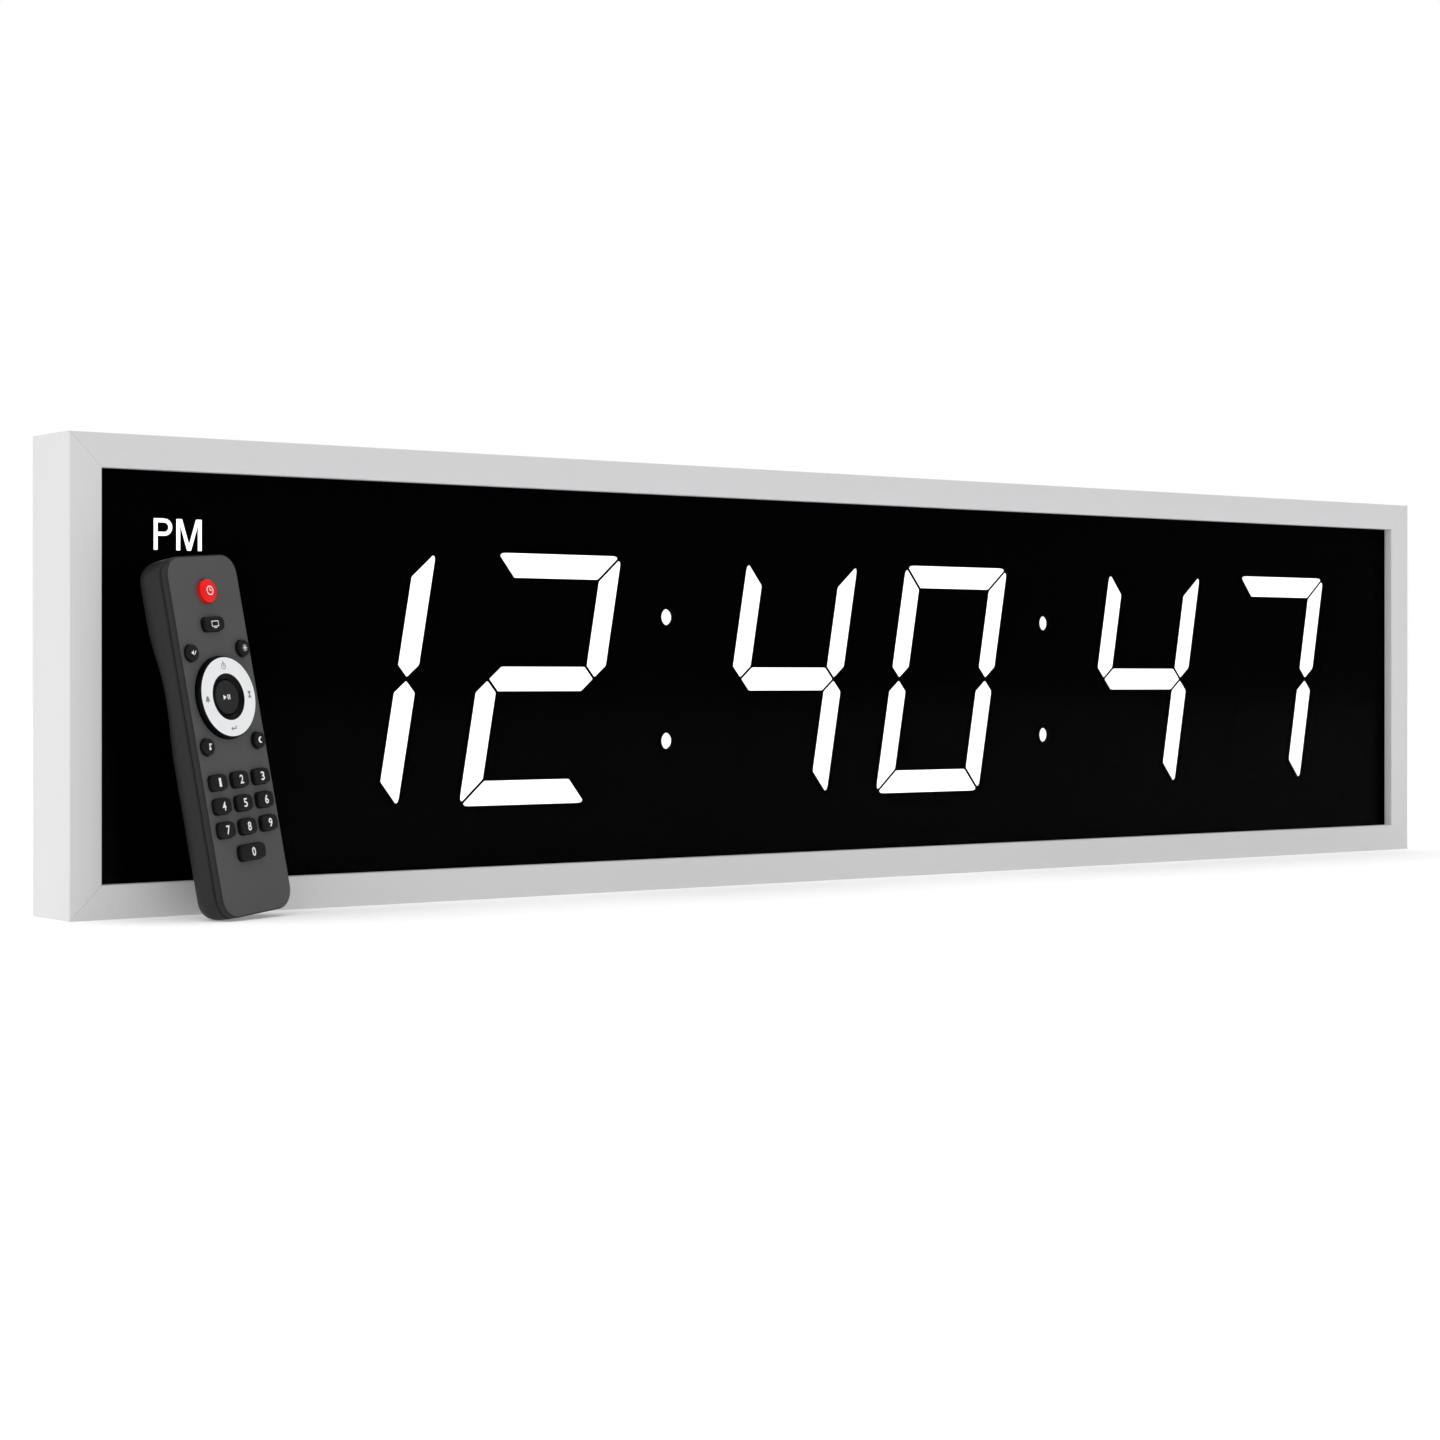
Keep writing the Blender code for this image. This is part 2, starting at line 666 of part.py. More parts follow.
legend_pad = rectangle(
    LEGEND_X, LEGEND_Z, LEGEND_WIDTH - 2 * CLEARANCE, LEGEND_HEIGHT - 2 * CLEARANCE
)
padded_plate(
    "half_day_lens",
    rectangle(LEGEND_X, LEGEND_Z, LEGEND_WIDTH + 0.006, LEGEND_HEIGHT + 0.006),
    [legend_pad],
    pad_rise,
    "diffuser_white",
    DIFFUSER_THICK,
    DIFFUSER_FRONT,
)

# ---------------------------------------------------------------- electronics inside the timer
receiver_outline = rectangle(RECEIVER_X, RECEIVER_Z, RECEIVER_SIZE, RECEIVER_SIZE)
receiver_mesh = plate_mesh("ir_receiver", [receiver_outline], -RECEIVER_SIZE, 0)
receiver = add("ir_receiver", receiver_mesh, "component_black", (0, DIFFUSER_FRONT, 0), FACING_FRONT)
receiver_edges = receiver.modifiers.new("Bevel", "BEVEL")
receiver_edges.width = RECEIVER_SIZE / 6
receiver_edges.segments = 2

board_outline = rectangle(0, half_height, CONTROL_WIDTH, CONTROL_HEIGHT)
board = plate_mesh("control_board", [board_outline], -BOARD_THICK, 0)
add("control_board", board, "circuit_green", (0, CONTROL_FRONT, 0), FACING_FRONT)

board_back = CONTROL_FRONT + BOARD_THICK + CLEARANCE
FACING_BACK = (-math.pi / 2, 0.0, 0.0)  # turns a piece made along +Z to stand out of a board's back


def rounded_end_profile(radius, height, edge):
    """A turned block from Z=0 to height, its far edge softened."""
    return [
        (0, 0),
        (radius, 0),
        (radius, height - edge),
        (radius - edge, height),
        (0, height),
    ]


buzzer_x = CONTROL_WIDTH / 4
cell_x = -CONTROL_WIDTH / 4
buzzer_profile = rounded_end_profile(BUZZER_RADIUS, BUZZER_HEIGHT, 0.0006)
buzzer = turned_mesh("buzzer", buzzer_profile)
add("buzzer", buzzer, "component_black", (buzzer_x, board_back, half_height), FACING_BACK)
cell = turned_mesh("backup_cell", rounded_end_profile(CELL_RADIUS, CELL_HEIGHT, 0.0005), sides=28)
add("backup_cell", cell, "cell_steel", (cell_x, board_back, half_height), FACING_BACK)

jack_mouth = BACK - 0.0003
jack_collar_front = COVER_BACK + CLEARANCE
jack_body_back = COVER_FRONT - CLEARANCE
jack_front = jack_body_back - JACK_LENGTH
jack_profile = [
    (0, jack_mouth - 0.0020),
    (JACK_PIN, jack_mouth - 0.0020),
    (JACK_PIN, jack_front + 0.0015),
    (JACK_BORE, jack_front + 0.0015),
    (JACK_BORE, jack_mouth),
    (JACK_BODY, jack_mouth),
    (JACK_BODY, jack_collar_front),
    (JACK_NOSE, jack_collar_front),
    (JACK_NOSE, jack_body_back),
    (JACK_BODY, jack_body_back),
    (JACK_BODY, jack_front),
    (0, jack_front),
]
jack = turned_mesh("dc_power_jack", jack_profile, sides=20)
add("dc_power_jack", jack, "component_black", (JACK_X, 0, JACK_Z), FACING_BACK)

# ---------------------------------------------------------------- back cover and its fixings
screw_inset = (WALL + LEDGE) / 2
screw_places = []
for screw_z in (TIMER_HEIGHT - screw_inset, screw_inset):
    for screw_x in (-COVER_SCREW_X, COVER_SCREW_X):
        screw_places.append((screw_x, screw_z))

hang_places = (-HANG_SPACING / 2, HANG_SPACING / 2)
cover_outlines = [inner_outline(INSIDE)]
for screw_x, screw_z in screw_places:
    cover_outlines.append(circle(screw_x, screw_z, SCREW_SHAFT + SCREW_PLAY, sides=16))
for hang_x in hang_places:
    cover_outlines.append(
        keyhole(hang_x, HANG_HEIGHT, KEYHOLE_MOUTH, KEYHOLE_SLOT, KEYHOLE_RISE)
    )
for vent_side in (-1, 1):
    for row in range(VENT_COUNT):
        vent_z = VENT_Z + row * VENT_PITCH
        cover_outlines.append(slot_outline(vent_side * VENT_X, vent_z, VENT_LENGTH, VENT_WIDTH))
cover_outlines.append(circle(JACK_X, JACK_Z, JACK_NOSE + CLEARANCE))
cover = plate_mesh("back_cover", cover_outlines, -COVER_THICK, 0)
add("back_cover", cover, "cover_black", (0, COVER_FRONT, 0), FACING_FRONT)

for side_name, hang_x in zip(("left", "right"), hang_places):
    hanger_name = "hanger_plate_" + side_name
    hanger_z = HANG_HEIGHT + KEYHOLE_RISE / 2
    hanger_outlines = [
        rectangle(hang_x, hanger_z, HANGER_WIDTH, HANGER_HEIGHT),
        keyhole(hang_x, HANG_HEIGHT, KEYHOLE_MOUTH, KEYHOLE_SLOT, KEYHOLE_RISE),
    ]
    hanger = plate_mesh(hanger_name, hanger_outlines, 0, HANGER_THICK)
    add(hanger_name, hanger, "bracket_steel", (0, LEDGE_BACK, 0), FACING_FRONT)

head_front = COVER_BACK + CLEARANCE / 2
screw_profile = [
    (0, head_front + SCREW_HEAD_THICK),
    (SCREW_HEAD * 0.7, head_front + SCREW_HEAD_THICK),
    (SCREW_HEAD, head_front + SCREW_HEAD_THICK / 2),
    (SCREW_HEAD, head_front),
    (SCREW_SHAFT, head_front),
    (SCREW_SHAFT, head_front - SCREW_LENGTH + SCREW_SHAFT),
    (0, head_front - SCREW_LENGTH),
]
for number, (screw_x, screw_z) in enumerate(screw_places, start=1):
    screw_name = "cover_screw_" + str(number)
    screw = turned_mesh(screw_name, screw_profile, sides=16)
    add(screw_name, screw, "bracket_steel", (screw_x, 0, screw_z), FACING_BACK)


# ---------------------------------------------------------------- remote: shells
def grip_depth(along):
    """Thickness of the remote at a place along its length: most at the head, least at the waist."""
    climb = min(max((along - NECK_AT) / NECK_SPAN + 0.5, 0), 1)
    place = min(max((along - WAIST_AT) / WAIST_SPAN, -0.5), 0.5)
    head = (HEAD_THICK - REMOTE_THICK) * (1 - math.cos(math.pi * climb)) / 2
    return REMOTE_THICK + head - WAIST_DEPTH * (1 + math.cos(2 * math.pi * place)) / 2


def remote_outline(inset):
    """Edge of the remote from the top round the right side, then its mirror image back up."""
    straight_x = REMOTE_WIDTH / 2 - inset
    arc_x = REMOTE_WIDTH / 2 - REMOTE_CORNER
    arc_y = REMOTE_LENGTH / 2 - REMOTE_CORNER
    radius = REMOTE_CORNER - inset
    right = []
    for i in range(6):
        angle = math.pi / 2 * (1 - i / 5)
        right.append((arc_x + radius * math.cos(angle), arc_y + radius * math.sin(angle)))
    stations = 14
    low = WAIST_AT - WAIST_SPAN / 2
    high = NECK_AT + NECK_SPAN / 2
    for i in range(stations + 1):
        right.append((straight_x, high + (low - high) * i / stations))
    for i in range(6):
        angle = -math.pi / 2 * i / 5
        right.append((arc_x + radius * math.cos(angle), -arc_y + radius * math.sin(angle)))
    return right + [(-x, y) for x, y in reversed(right)]


def face_loop(inset, height):
    return [(x, y, height) for x, y in remote_outline(inset)]


def back_loop(inset, share, rise=0.0):
    """Loop at a share of the way from the parting line to the wavy back, raised by rise."""
    top = FRONT_DEPTH + PARTING_GAP
    loop = []
    for x, y in remote_outline(inset):
        depth = top + (grip_depth(y) - rise - top) * share
        loop.append((x, y, -depth))
    return loop


front_loops = [
    face_loop(0.0011, 0),
    face_loop(0.0003, -0.0007),
    face_loop(0, -0.0016),
    face_loop(0, -FRONT_DEPTH),
    face_loop(REMOTE_WALL, -FRONT_DEPTH),
    face_loop(REMOTE_WALL, -REMOTE_WALL),
]
back_loops = [
    back_loop(REMOTE_WALL + 0.0040, 1.0, REMOTE_WALL),
    back_loop(REMOTE_WALL + 0.0008, 0.82, REMOTE_WALL),
    back_loop(REMOTE_WALL, 0.0),
    back_loop(0, 0.0),
    back_loop(0.0002, 0.55),
    back_loop(0.0018, 0.87),
    back_loop(0.0050, 1.0),
]

remote = bpy.data.objects.new("remote_place", None)
bpy.context.scene.collection.objects.link(remote)
facing = Matrix.Rotation(REMOTE_YAW, 3, "Z")
leaning = Matrix.Rotation(math.pi / 2 - REMOTE_LEAN, 3, "X")
turn = facing @ leaning @ Matrix.Rotation(REMOTE_ROLL, 3, "Z")
remote.rotation_euler = turn.to_euler()
skin = [turn @ Vector(point) for loop in front_loops + back_loops for point in loop]
lowest = min(point.z for point in skin)
rearmost = max(point.y for point in skin)
remote.location = (REMOTE_X, PANEL_FRONT - CLEARANCE - rearmost, -lowest)

front_shell_mesh = loft_mesh("remote_front_shell", front_loops)
front_shell = add("remote_front_shell", front_shell_mesh, "remote_black", parent=remote)
rear_shell_mesh = loft_mesh("remote_rear_shell", back_loops)
rear_shell = add("remote_rear_shell", rear_shell_mesh, "remote_black", parent=remote)

# ---------------------------------------------------------------- remote: battery door
end_reach = REMOTE_LENGTH / 2 + 0.010
door_inside = -(REMOTE_THICK - REMOTE_WALL)
below = -(REMOTE_THICK + 0.005)


def tail_rectangle(width, top):
    middle = (top - end_reach) / 2
    return rectangle(0, middle, width, top + end_reach)


bay = plate_mesh(
    "battery_bay",
    [tail_rectangle(DOOR_WIDTH + 2 * CLEARANCE, DOOR_TOP + CLEARANCE)],
    below,
    door_inside + CLEARANCE,
)
combine(rear_shell, bay, "DIFFERENCE")
door_mesh = loft_mesh("battery_door", back_loops)
door = add("battery_door", door_mesh, "remote_black", parent=remote)
door_block = plate_mesh("door_block", [tail_rectangle(DOOR_WIDTH, DOOR_TOP)], below, door_inside)
combine(door, door_block, "INTERSECT")

emitter_hole = turned_mesh(
    "emitter_hole",
    [
        (0, 0.020),
        (EMITTER_RADIUS + CLEARANCE, 0.020),
        (EMITTER_RADIUS + CLEARANCE, 0),
        (0, 0),
    ],
)
emitter_start = REMOTE_LENGTH / 2 - EMITTER_LENGTH
emitter_hole.transform(
    Matrix.Translation((0, emitter_start, -EMITTER_DEPTH)) @ Matrix.Rotation(-math.pi / 2, 4, "X")
)
hole_helper = add_helper("remote_rear_shell_emitter", emitter_hole, rear_shell)
hole_cut = rear_shell.modifiers.new("Emitter hole", "BOOLEAN")
hole_cut.operation = "DIFFERENCE"
hole_cut.object = hole_helper

emitter_dome = []
for i in range(5):
    angle = math.pi / 2 * i / 4
    emitter_dome.append(
        (
            EMITTER_RADIUS * math.cos(angle),
            EMITTER_LENGTH - EMITTER_RADIUS + EMITTER_RADIUS * math.sin(angle),
        )
    )
emitter_profile = [(0, 0), (EMITTER_RADIUS, 0)] + emitter_dome[:-1] + [(0, EMITTER_LENGTH)]
emitter = turned_mesh("ir_emitter", emitter_profile, sides=16)
add(
    "ir_emitter",
    emitter,
    "emitter_clear",
    (0, emitter_start, -EMITTER_DEPTH),
    (-math.pi / 2, 0, 0),
    remote,
)

# ---------------------------------------------------------------- remote: inside
mat_outline = remote_outline(REMOTE_WALL + CLEARANCE)
mat = plate_mesh("keypad_mat", [mat_outline], MAT_TOP - MAT_THICK, MAT_TOP)
add("keypad_mat", mat, "mat_grey", parent=remote)
remote_board = plate_mesh(
    "remote_circuit_board", [mat_outline], REMOTE_BOARD_BOTTOM, REMOTE_BOARD_TOP
)
add("remote_circuit_board", remote_board, "circuit_green", parent=remote)

battery_x = BATTERY_RADIUS + CLEARANCE
barrel = BATTERY_LENGTH - BATTERY_NUB
battery_profile = [
    (0, 0),
    (BATTERY_RADIUS - 0.0004, 0),
    (BATTERY_RADIUS, 0.0004),
    (BATTERY_RADIUS, barrel - 0.0004),
    (BATTERY_RADIUS - 0.0004, barrel),
    (BATTERY_NUB_RADIUS, barrel),
    (BATTERY_NUB_RADIUS, BATTERY_LENGTH),
    (0, BATTERY_LENGTH),
]
battery_bottom = BATTERY_TOP - BATTERY_LENGTH
battery_places = {
    "battery_left": ((-battery_x, battery_bottom, BATTERY_AXIS), (-math.pi / 2, 0, 0)),
    "battery_right": ((battery_x, BATTERY_TOP, BATTERY_AXIS), (math.pi / 2, 0, 0)),
}
for battery_name, (place, battery_turn) in battery_places.items():
    battery = turned_mesh(battery_name, battery_profile)
    add(battery_name, battery, "battery_wrap", place, battery_turn, remote)

ALONG = (-math.pi / 2, 0.0, 0.0)  # turns a plate drawn in XY to face along the remote's length
spring_plate = rectangle(0, 0, 4 * BATTERY_RADIUS, 1.6 * BATTERY_RADIUS)
spring_rise = CLEARANCE + SPRING_LENGTH
spring_mesh = plate_mesh("battery_bridge_spring", [spring_plate], -CONTACT_THICK, 0)
spring = add(
    "battery_bridge_spring",
    spring_mesh,
    "contact_nickel",
    (0, battery_bottom - spring_rise, BATTERY_AXIS),
    ALONG,
    remote,
)
coils = bmesh.new()
for side in (-1, 1):
    bmesh.ops.create_cone(
        coils,
        cap_ends=True,
        segments=16,
        radius1=BATTERY_RADIUS * 0.62,
        radius2=BATTERY_RADIUS * 0.4,
        depth=SPRING_LENGTH + CONTACT_THICK / 2,
        matrix=Matrix.Translation((side * battery_x, 0, SPRING_LENGTH / 2 - CONTACT_THICK / 4)),
    )
combine(spring, mesh_from("spring_coils", coils), "UNION")

tab_width = 1.5 * BATTERY_RADIUS
for side_name, side in (("left", -1), ("right", 1)):
    tab_name = "battery_contact_" + side_name
    tab = plate_mesh(tab_name, [rectangle(0, 0, tab_width, tab_width)], 0, CONTACT_THICK)
    tab_place = (side * battery_x, BATTERY_TOP + CLEARANCE, BATTERY_AXIS)
    add(tab_name, tab, "contact_nickel", tab_place, ALONG, remote)


# ---------------------------------------------------------------- remote: keys
def key_loops(outline, rise):
    """Loops of a key up from its flange, with a softened top edge."""
    flange = shrunk(outline, -KEY_LIP - KEY_PLAY)
    top = shrunk(outline, KEY_EDGE)
    levels = (
        (flange, FLANGE_BOTTOM),
        (flange, FLANGE_TOP),
        (outline, FLANGE_TOP),
        (outline, rise - KEY_EDGE),
        (top, rise),
    )
    return [[(x, y, height) for x, y in points] for points, height in levels]


def skin_mesh(name, loops):
    """Closed skin through loops of equal length, its two ends flat."""
    bm = bmesh.new()
    rings = [[bm.verts.new(point) for point in loop] for loop in loops]
    count = len(rings[0])
    for ring, following in zip(rings, rings[1:]):
        for i in range(count):
            j = (i + 1) % count
            bm.faces.new((ring[i], ring[j], following[j], following[i]))
    bm.faces.new(rings[0])
    bm.faces.new(rings[-1])
    return mesh_from(name, bm, smooth=True)


def digit_key(width):
    return rounded_rectangle(0, 0, width, KEY_HEIGHT, KEY_CORNER, steps=3)


side_key = circle(0, 0, SIDE_KEY_RADIUS, sides=18)
display_key = rounded_rectangle(0, 0, DISPLAY_WIDTH, DISPLAY_HEIGHT, DISPLAY_HEIGHT / 2.6, steps=4)
keys = {
    "key_clock": ((0, CLOCK_AT), circle(0, 0, CLOCK_RADIUS, sides=24), CLOCK_RISE, "key_red"),
    "key_display": ((0, DISPLAY_AT), display_key, KEY_RISE, "key_black"),
    "key_mute": ((-SIDE_KEY_X, UPPER_SIDE_ROW), side_key, KEY_RISE, "key_black"),
    "key_brightness": ((SIDE_KEY_X, UPPER_SIDE_ROW), side_key, KEY_RISE, "key_black"),
    "key_degrees": ((-SIDE_KEY_X, LOWER_SIDE_ROW), side_key, KEY_RISE, "key_black"),
    "key_am_pm": ((SIDE_KEY_X, LOWER_SIDE_ROW), side_key, KEY_RISE, "key_black"),
    "key_0": ((0, ZERO_ROW), digit_key(ZERO_WIDTH), KEY_RISE, "key_black"),
}
for number in range(1, 10):
    row, column = divmod(number - 1, 3)
    place = ((column - 1) * COLUMN_PITCH, FIRST_ROW - row * ROW_PITCH)
    keys["key_" + str(number)] = (place, digit_key(KEY_WIDTH), KEY_RISE, "key_black")

key_holes = [circle(0, RING_AT, RING_RADIUS + RING_PLAY, sides=48)]
for key_name, ((key_x, key_y), outline, rise, finish) in keys.items():
    key_mesh = skin_mesh(key_name, key_loops(outline, rise))
    add(key_name, key_mesh, finish, (key_x, key_y, 0), parent=remote)
    hole = shrunk(outline, -KEY_PLAY)
    key_holes.append([(key_x + x, key_y + y) for x, y in hole])
holes = plate_mesh("key_holes", key_holes, -REMOTE_WALL * 1.4, REMOTE_WALL)
combine(front_shell, holes, "DIFFERENCE")

# ---------------------------------------------------------------- remote: ring and centre key
ring_levels = (
    (RING_HOLE, -RING_SINK),
    (RING_RADIUS, -RING_SINK),
    (RING_RADIUS, RING_RISE - RING_EDGE),
    (RING_RADIUS - RING_EDGE, RING_RISE),
    (RING_INNER, RING_RISE),
    (RING_HOLE, RING_RISE - RING_SLOPE),
)
ring_sides = 48
ring_bm = bmesh.new()
ring_rings = []
for radius, height in ring_levels:
    ring_rings.append([ring_bm.verts.new((x, y, height)) for x, y in circle(0, 0, radius, ring_sides)])
for inner, outer in zip(ring_rings, ring_rings[1:] + ring_rings[:1]):
    for i in range(ring_sides):
        j = (i + 1) % ring_sides
        ring_bm.faces.new((inner[i], inner[j], outer[j], outer[i]))
ring_mesh = mesh_from("nav_ring", ring_bm, smooth=True)
add("nav_ring", ring_mesh, "ring_white", (0, RING_AT, 0), parent=remote)

centre_height = CENTRE_RISE - FLANGE_BOTTOM
centre_profile = rounded_end_profile(CENTRE_RADIUS, centre_height, KEY_EDGE)
centre_mesh = turned_mesh("key_start_stop", centre_profile, sides=28)
centre_mesh.transform(Matrix.Translation((0, 0, FLANGE_BOTTOM)))
add("key_start_stop", centre_mesh, "key_black", (0, RING_AT, 0), parent=remote)
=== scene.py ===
"""Looks of the round timer and its remote control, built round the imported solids.

Metres, +Z up, origin at the centre of the timer's underside; the display faces -Y."""

import json
import math

import bmesh
import bpy
import numpy as np
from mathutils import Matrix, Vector


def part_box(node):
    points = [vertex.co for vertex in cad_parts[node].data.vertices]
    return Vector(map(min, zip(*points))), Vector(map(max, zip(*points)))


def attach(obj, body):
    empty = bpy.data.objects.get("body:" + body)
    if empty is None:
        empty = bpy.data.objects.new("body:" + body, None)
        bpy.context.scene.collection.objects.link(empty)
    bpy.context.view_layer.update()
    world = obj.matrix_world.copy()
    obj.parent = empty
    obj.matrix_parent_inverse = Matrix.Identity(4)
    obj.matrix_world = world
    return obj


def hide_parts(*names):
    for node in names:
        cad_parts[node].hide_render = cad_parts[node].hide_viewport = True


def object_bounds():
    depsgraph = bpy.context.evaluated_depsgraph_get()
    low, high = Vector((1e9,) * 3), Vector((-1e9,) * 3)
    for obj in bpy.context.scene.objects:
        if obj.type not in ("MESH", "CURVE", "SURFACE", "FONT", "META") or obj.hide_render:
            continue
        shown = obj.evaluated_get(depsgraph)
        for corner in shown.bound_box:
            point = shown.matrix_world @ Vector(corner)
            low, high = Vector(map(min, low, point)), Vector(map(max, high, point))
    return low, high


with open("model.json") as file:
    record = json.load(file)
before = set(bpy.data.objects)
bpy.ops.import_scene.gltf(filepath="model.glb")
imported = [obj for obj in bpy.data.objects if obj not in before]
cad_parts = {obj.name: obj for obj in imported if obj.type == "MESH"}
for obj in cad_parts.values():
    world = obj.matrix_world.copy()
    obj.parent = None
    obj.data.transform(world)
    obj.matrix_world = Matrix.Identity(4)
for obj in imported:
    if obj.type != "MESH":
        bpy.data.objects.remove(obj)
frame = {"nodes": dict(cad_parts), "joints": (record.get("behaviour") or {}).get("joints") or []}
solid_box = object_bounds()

# ---------------------------------------------------------------- studio
# A white sweep under soft light from above and from the left, as for a catalogue picture.
# The side that the display mirrors is kept dark, so the smoked panel reads black.
EYE = (-0.994, -1.2106, 0.108)
EYE_TURN = math.radians(-37.1)
LENS_MM = 71.45
LENS_SHIFT = -0.0281
FLOOR_LIT = 0.23
FLOOR_HALF = 9.0

camera_data = bpy.data.cameras.new("studio_camera")
camera_data.lens = LENS_MM
camera_data.sensor_width = 36.0
camera_data.shift_y = LENS_SHIFT
camera_data.clip_start = 0.05
camera_data.clip_end = 60.0
camera = bpy.data.objects.new("studio_camera", camera_data)
camera.location = EYE
camera.rotation_euler = (math.pi / 2, 0.0, EYE_TURN)
bpy.context.scene.collection.objects.link(camera)
bpy.context.scene.camera = camera
bpy.context.scene.view_settings.view_transform = "Standard"
bpy.context.scene.view_settings.look = "None"


class Wire:
    """A socket of a material. Arithmetic on it adds Math nodes, so 1 - mask is a wire too."""

    def __init__(self, finish, socket):
        self.finish = finish
        self.socket = socket

    def maths(self, operation, *values):
        return self.finish.node("ShaderNodeMath", {"operation": operation}, *values)

    def __add__(self, other):
        return self.maths("ADD", self, other)

    def __rsub__(self, other):
        return self.maths("SUBTRACT", other, self)

    def __mul__(self, other):
        return self.maths("MULTIPLY", self, other)

    def __gt__(self, other):
        return self.maths("GREATER_THAN", self, other)

    __radd__ = __add__
    __rmul__ = __mul__


class Finish:
    """A material with one Principled shader. Constants are set on its sockets, wires vary them."""

    def __init__(self, name, colour, roughness, **constants):
        self.material = bpy.data.materials.new(name)
        self.material.use_nodes = True
        self.tree = self.material.node_tree
        self.shader = self.tree.nodes["Principled BSDF"]
        self.colour = colour
        self.set("Base Color", (*colour, 1.0))
        self.set("Roughness", roughness)
        for socket, value in constants.items():
            self.set(socket.replace("_", " "), value)

    def set(self, socket, value):
        self.shader.inputs[socket].default_value = value

    def node(self, kind, settings, *values, out=0, **named):
        """Adds a node: its settings first, then its sockets' values or wires."""
        node = self.tree.nodes.new(kind)
        for setting, value in settings.items():
            setattr(node, setting, value)
        for key, value in list(enumerate(values)) + list(named.items()):
            socket = node.inputs[key.replace("_", " ") if isinstance(key, str) else key]
            if isinstance(value, Wire):
                self.tree.links.new(value.socket, socket)
            else:
                socket.default_value = value
        return Wire(self, node.outputs[out])

    def vary(self, socket, wire):
        self.tree.links.new(wire.socket, self.shader.inputs[socket])

    def place(self):
        return self.node("ShaderNodeTexCoord", {}, out=3)

    def noise(self, scale, detail=2.0, stretch=(1.0, 1.0, 1.0)):
        """Noise of about 1/scale metres, 0 to 1, on Object coordinates stretched per axis."""
        mapped = self.node("ShaderNodeMapping", {}, self.place(), Scale=stretch)
        return self.node("ShaderNodeTexNoise", {}, mapped, Scale=scale, Detail=detail)

    def mix(self, mask, first, second):
        """Colour that goes from first to second with mask."""
        wire = self.node("ShaderNodeMix", {"data_type": "RGBA"}, mask, out=2)
        node = wire.socket.node
        for socket, colour in ((node.inputs[6], first), (node.inputs[7], second)):
            if isinstance(colour, Wire):
                self.tree.links.new(colour.socket, socket)
            else:
                socket.default_value = (*colour, 1.0)
        return wire

    def span(self, wire, colour, low, high):
        """Colour times low to high as the wire goes from 0 to 1."""
        dark = tuple(channel * low for channel in colour)
        light = tuple(min(1.0, channel * high) for channel in colour)
        return self.mix(wire, dark, light)

    def shade(self, wire, low, high):
        self.vary("Base Color", self.span(wire, self.colour, low, high))

    def rough(self, wire, least, more):
        """Roughness of least plus more times the wire."""
        self.vary("Roughness", wire * more + least)

    def bump(self, height, distance):
        self.vary("Normal", self.node("ShaderNodeBump", {}, Height=height, Distance=distance))


floor_finish = Finish("studio_floor", (0.93, 0.93, 0.93), 0.7, Specular_IOR_Level=0.0)
floor_finish.set("Emission Color", (1.0, 1.0, 1.0, 1.0))
floor_finish.set("Emission Strength", FLOOR_LIT)
floor_finish.shade(floor_finish.noise(2.0), 0.995, 1.0)
floor_mesh = bpy.data.meshes.new("studio_floor")
floor_corners = [(-FLOOR_HALF, -FLOOR_HALF, 0), (FLOOR_HALF, -FLOOR_HALF, 0)]
floor_corners += [(FLOOR_HALF, FLOOR_HALF, 0), (-FLOOR_HALF, FLOOR_HALF, 0)]
floor_mesh.from_pydata(floor_corners, [], [(0, 1, 2, 3)])
floor_mesh.materials.append(floor_finish.material)
floor = bpy.data.objects.new("studio_floor", floor_mesh)
bpy.context.scene.collection.objects.link(floor)

world = bpy.data.worlds.new("studio_air")
world.use_nodes = True
bpy.context.scene.world = world
air = world.node_tree
plain = air.nodes["Background"]
plain.inputs["Color"].default_value = (1.0, 1.0, 1.0, 1.0)
plain.inputs["Strength"].default_value = 1.0
shaped = air.nodes.new("ShaderNodeBackground")
split = air.nodes.new("ShaderNodeMixShader")
rays = air.nodes.new("ShaderNodeLightPath")
direction = air.nodes.new("ShaderNodeTexCoord")
parts = air.nodes.new("ShaderNodeSeparateXYZ")
air.links.new(direction.outputs["Generated"], parts.inputs[0])


def air_maths(operation, first, second):
    """A Math node of the air's own, for how bright each direction is."""
    node = air.nodes.new("ShaderNodeMath")
    node.operation = operation
    for socket, value in zip(node.inputs, (first, second)):
        if isinstance(value, bpy.types.NodeSocket):
            air.links.new(value, socket)
        else:
            socket.default_value = value
    return node.outputs[0]


AIR_BASE = 0.62
AIR_TOP = 0.74
AIR_LEFT = 0.56
AIR_FRONT = -0.365
air_light = AIR_BASE
for axis, sign, share in (("Z", 1.0, AIR_TOP), ("X", -1.0, AIR_LEFT), ("Y", -1.0, AIR_FRONT)):
    lean = air_maths("MAXIMUM", air_maths("MULTIPLY", parts.outputs[axis], sign), 0.0)
    air_light = air_maths("ADD", air_maths("MULTIPLY", lean, share), air_light)
air.links.new(air_light, shaped.inputs["Strength"])
air.links.new(rays.outputs["Is Camera Ray"], split.inputs[0])
air.links.new(shaped.outputs[0], split.inputs[1])
air.links.new(plain.outputs[0], split.inputs[2])
air.links.new(split.outputs[0], air.nodes["World Output"].inputs["Surface"])


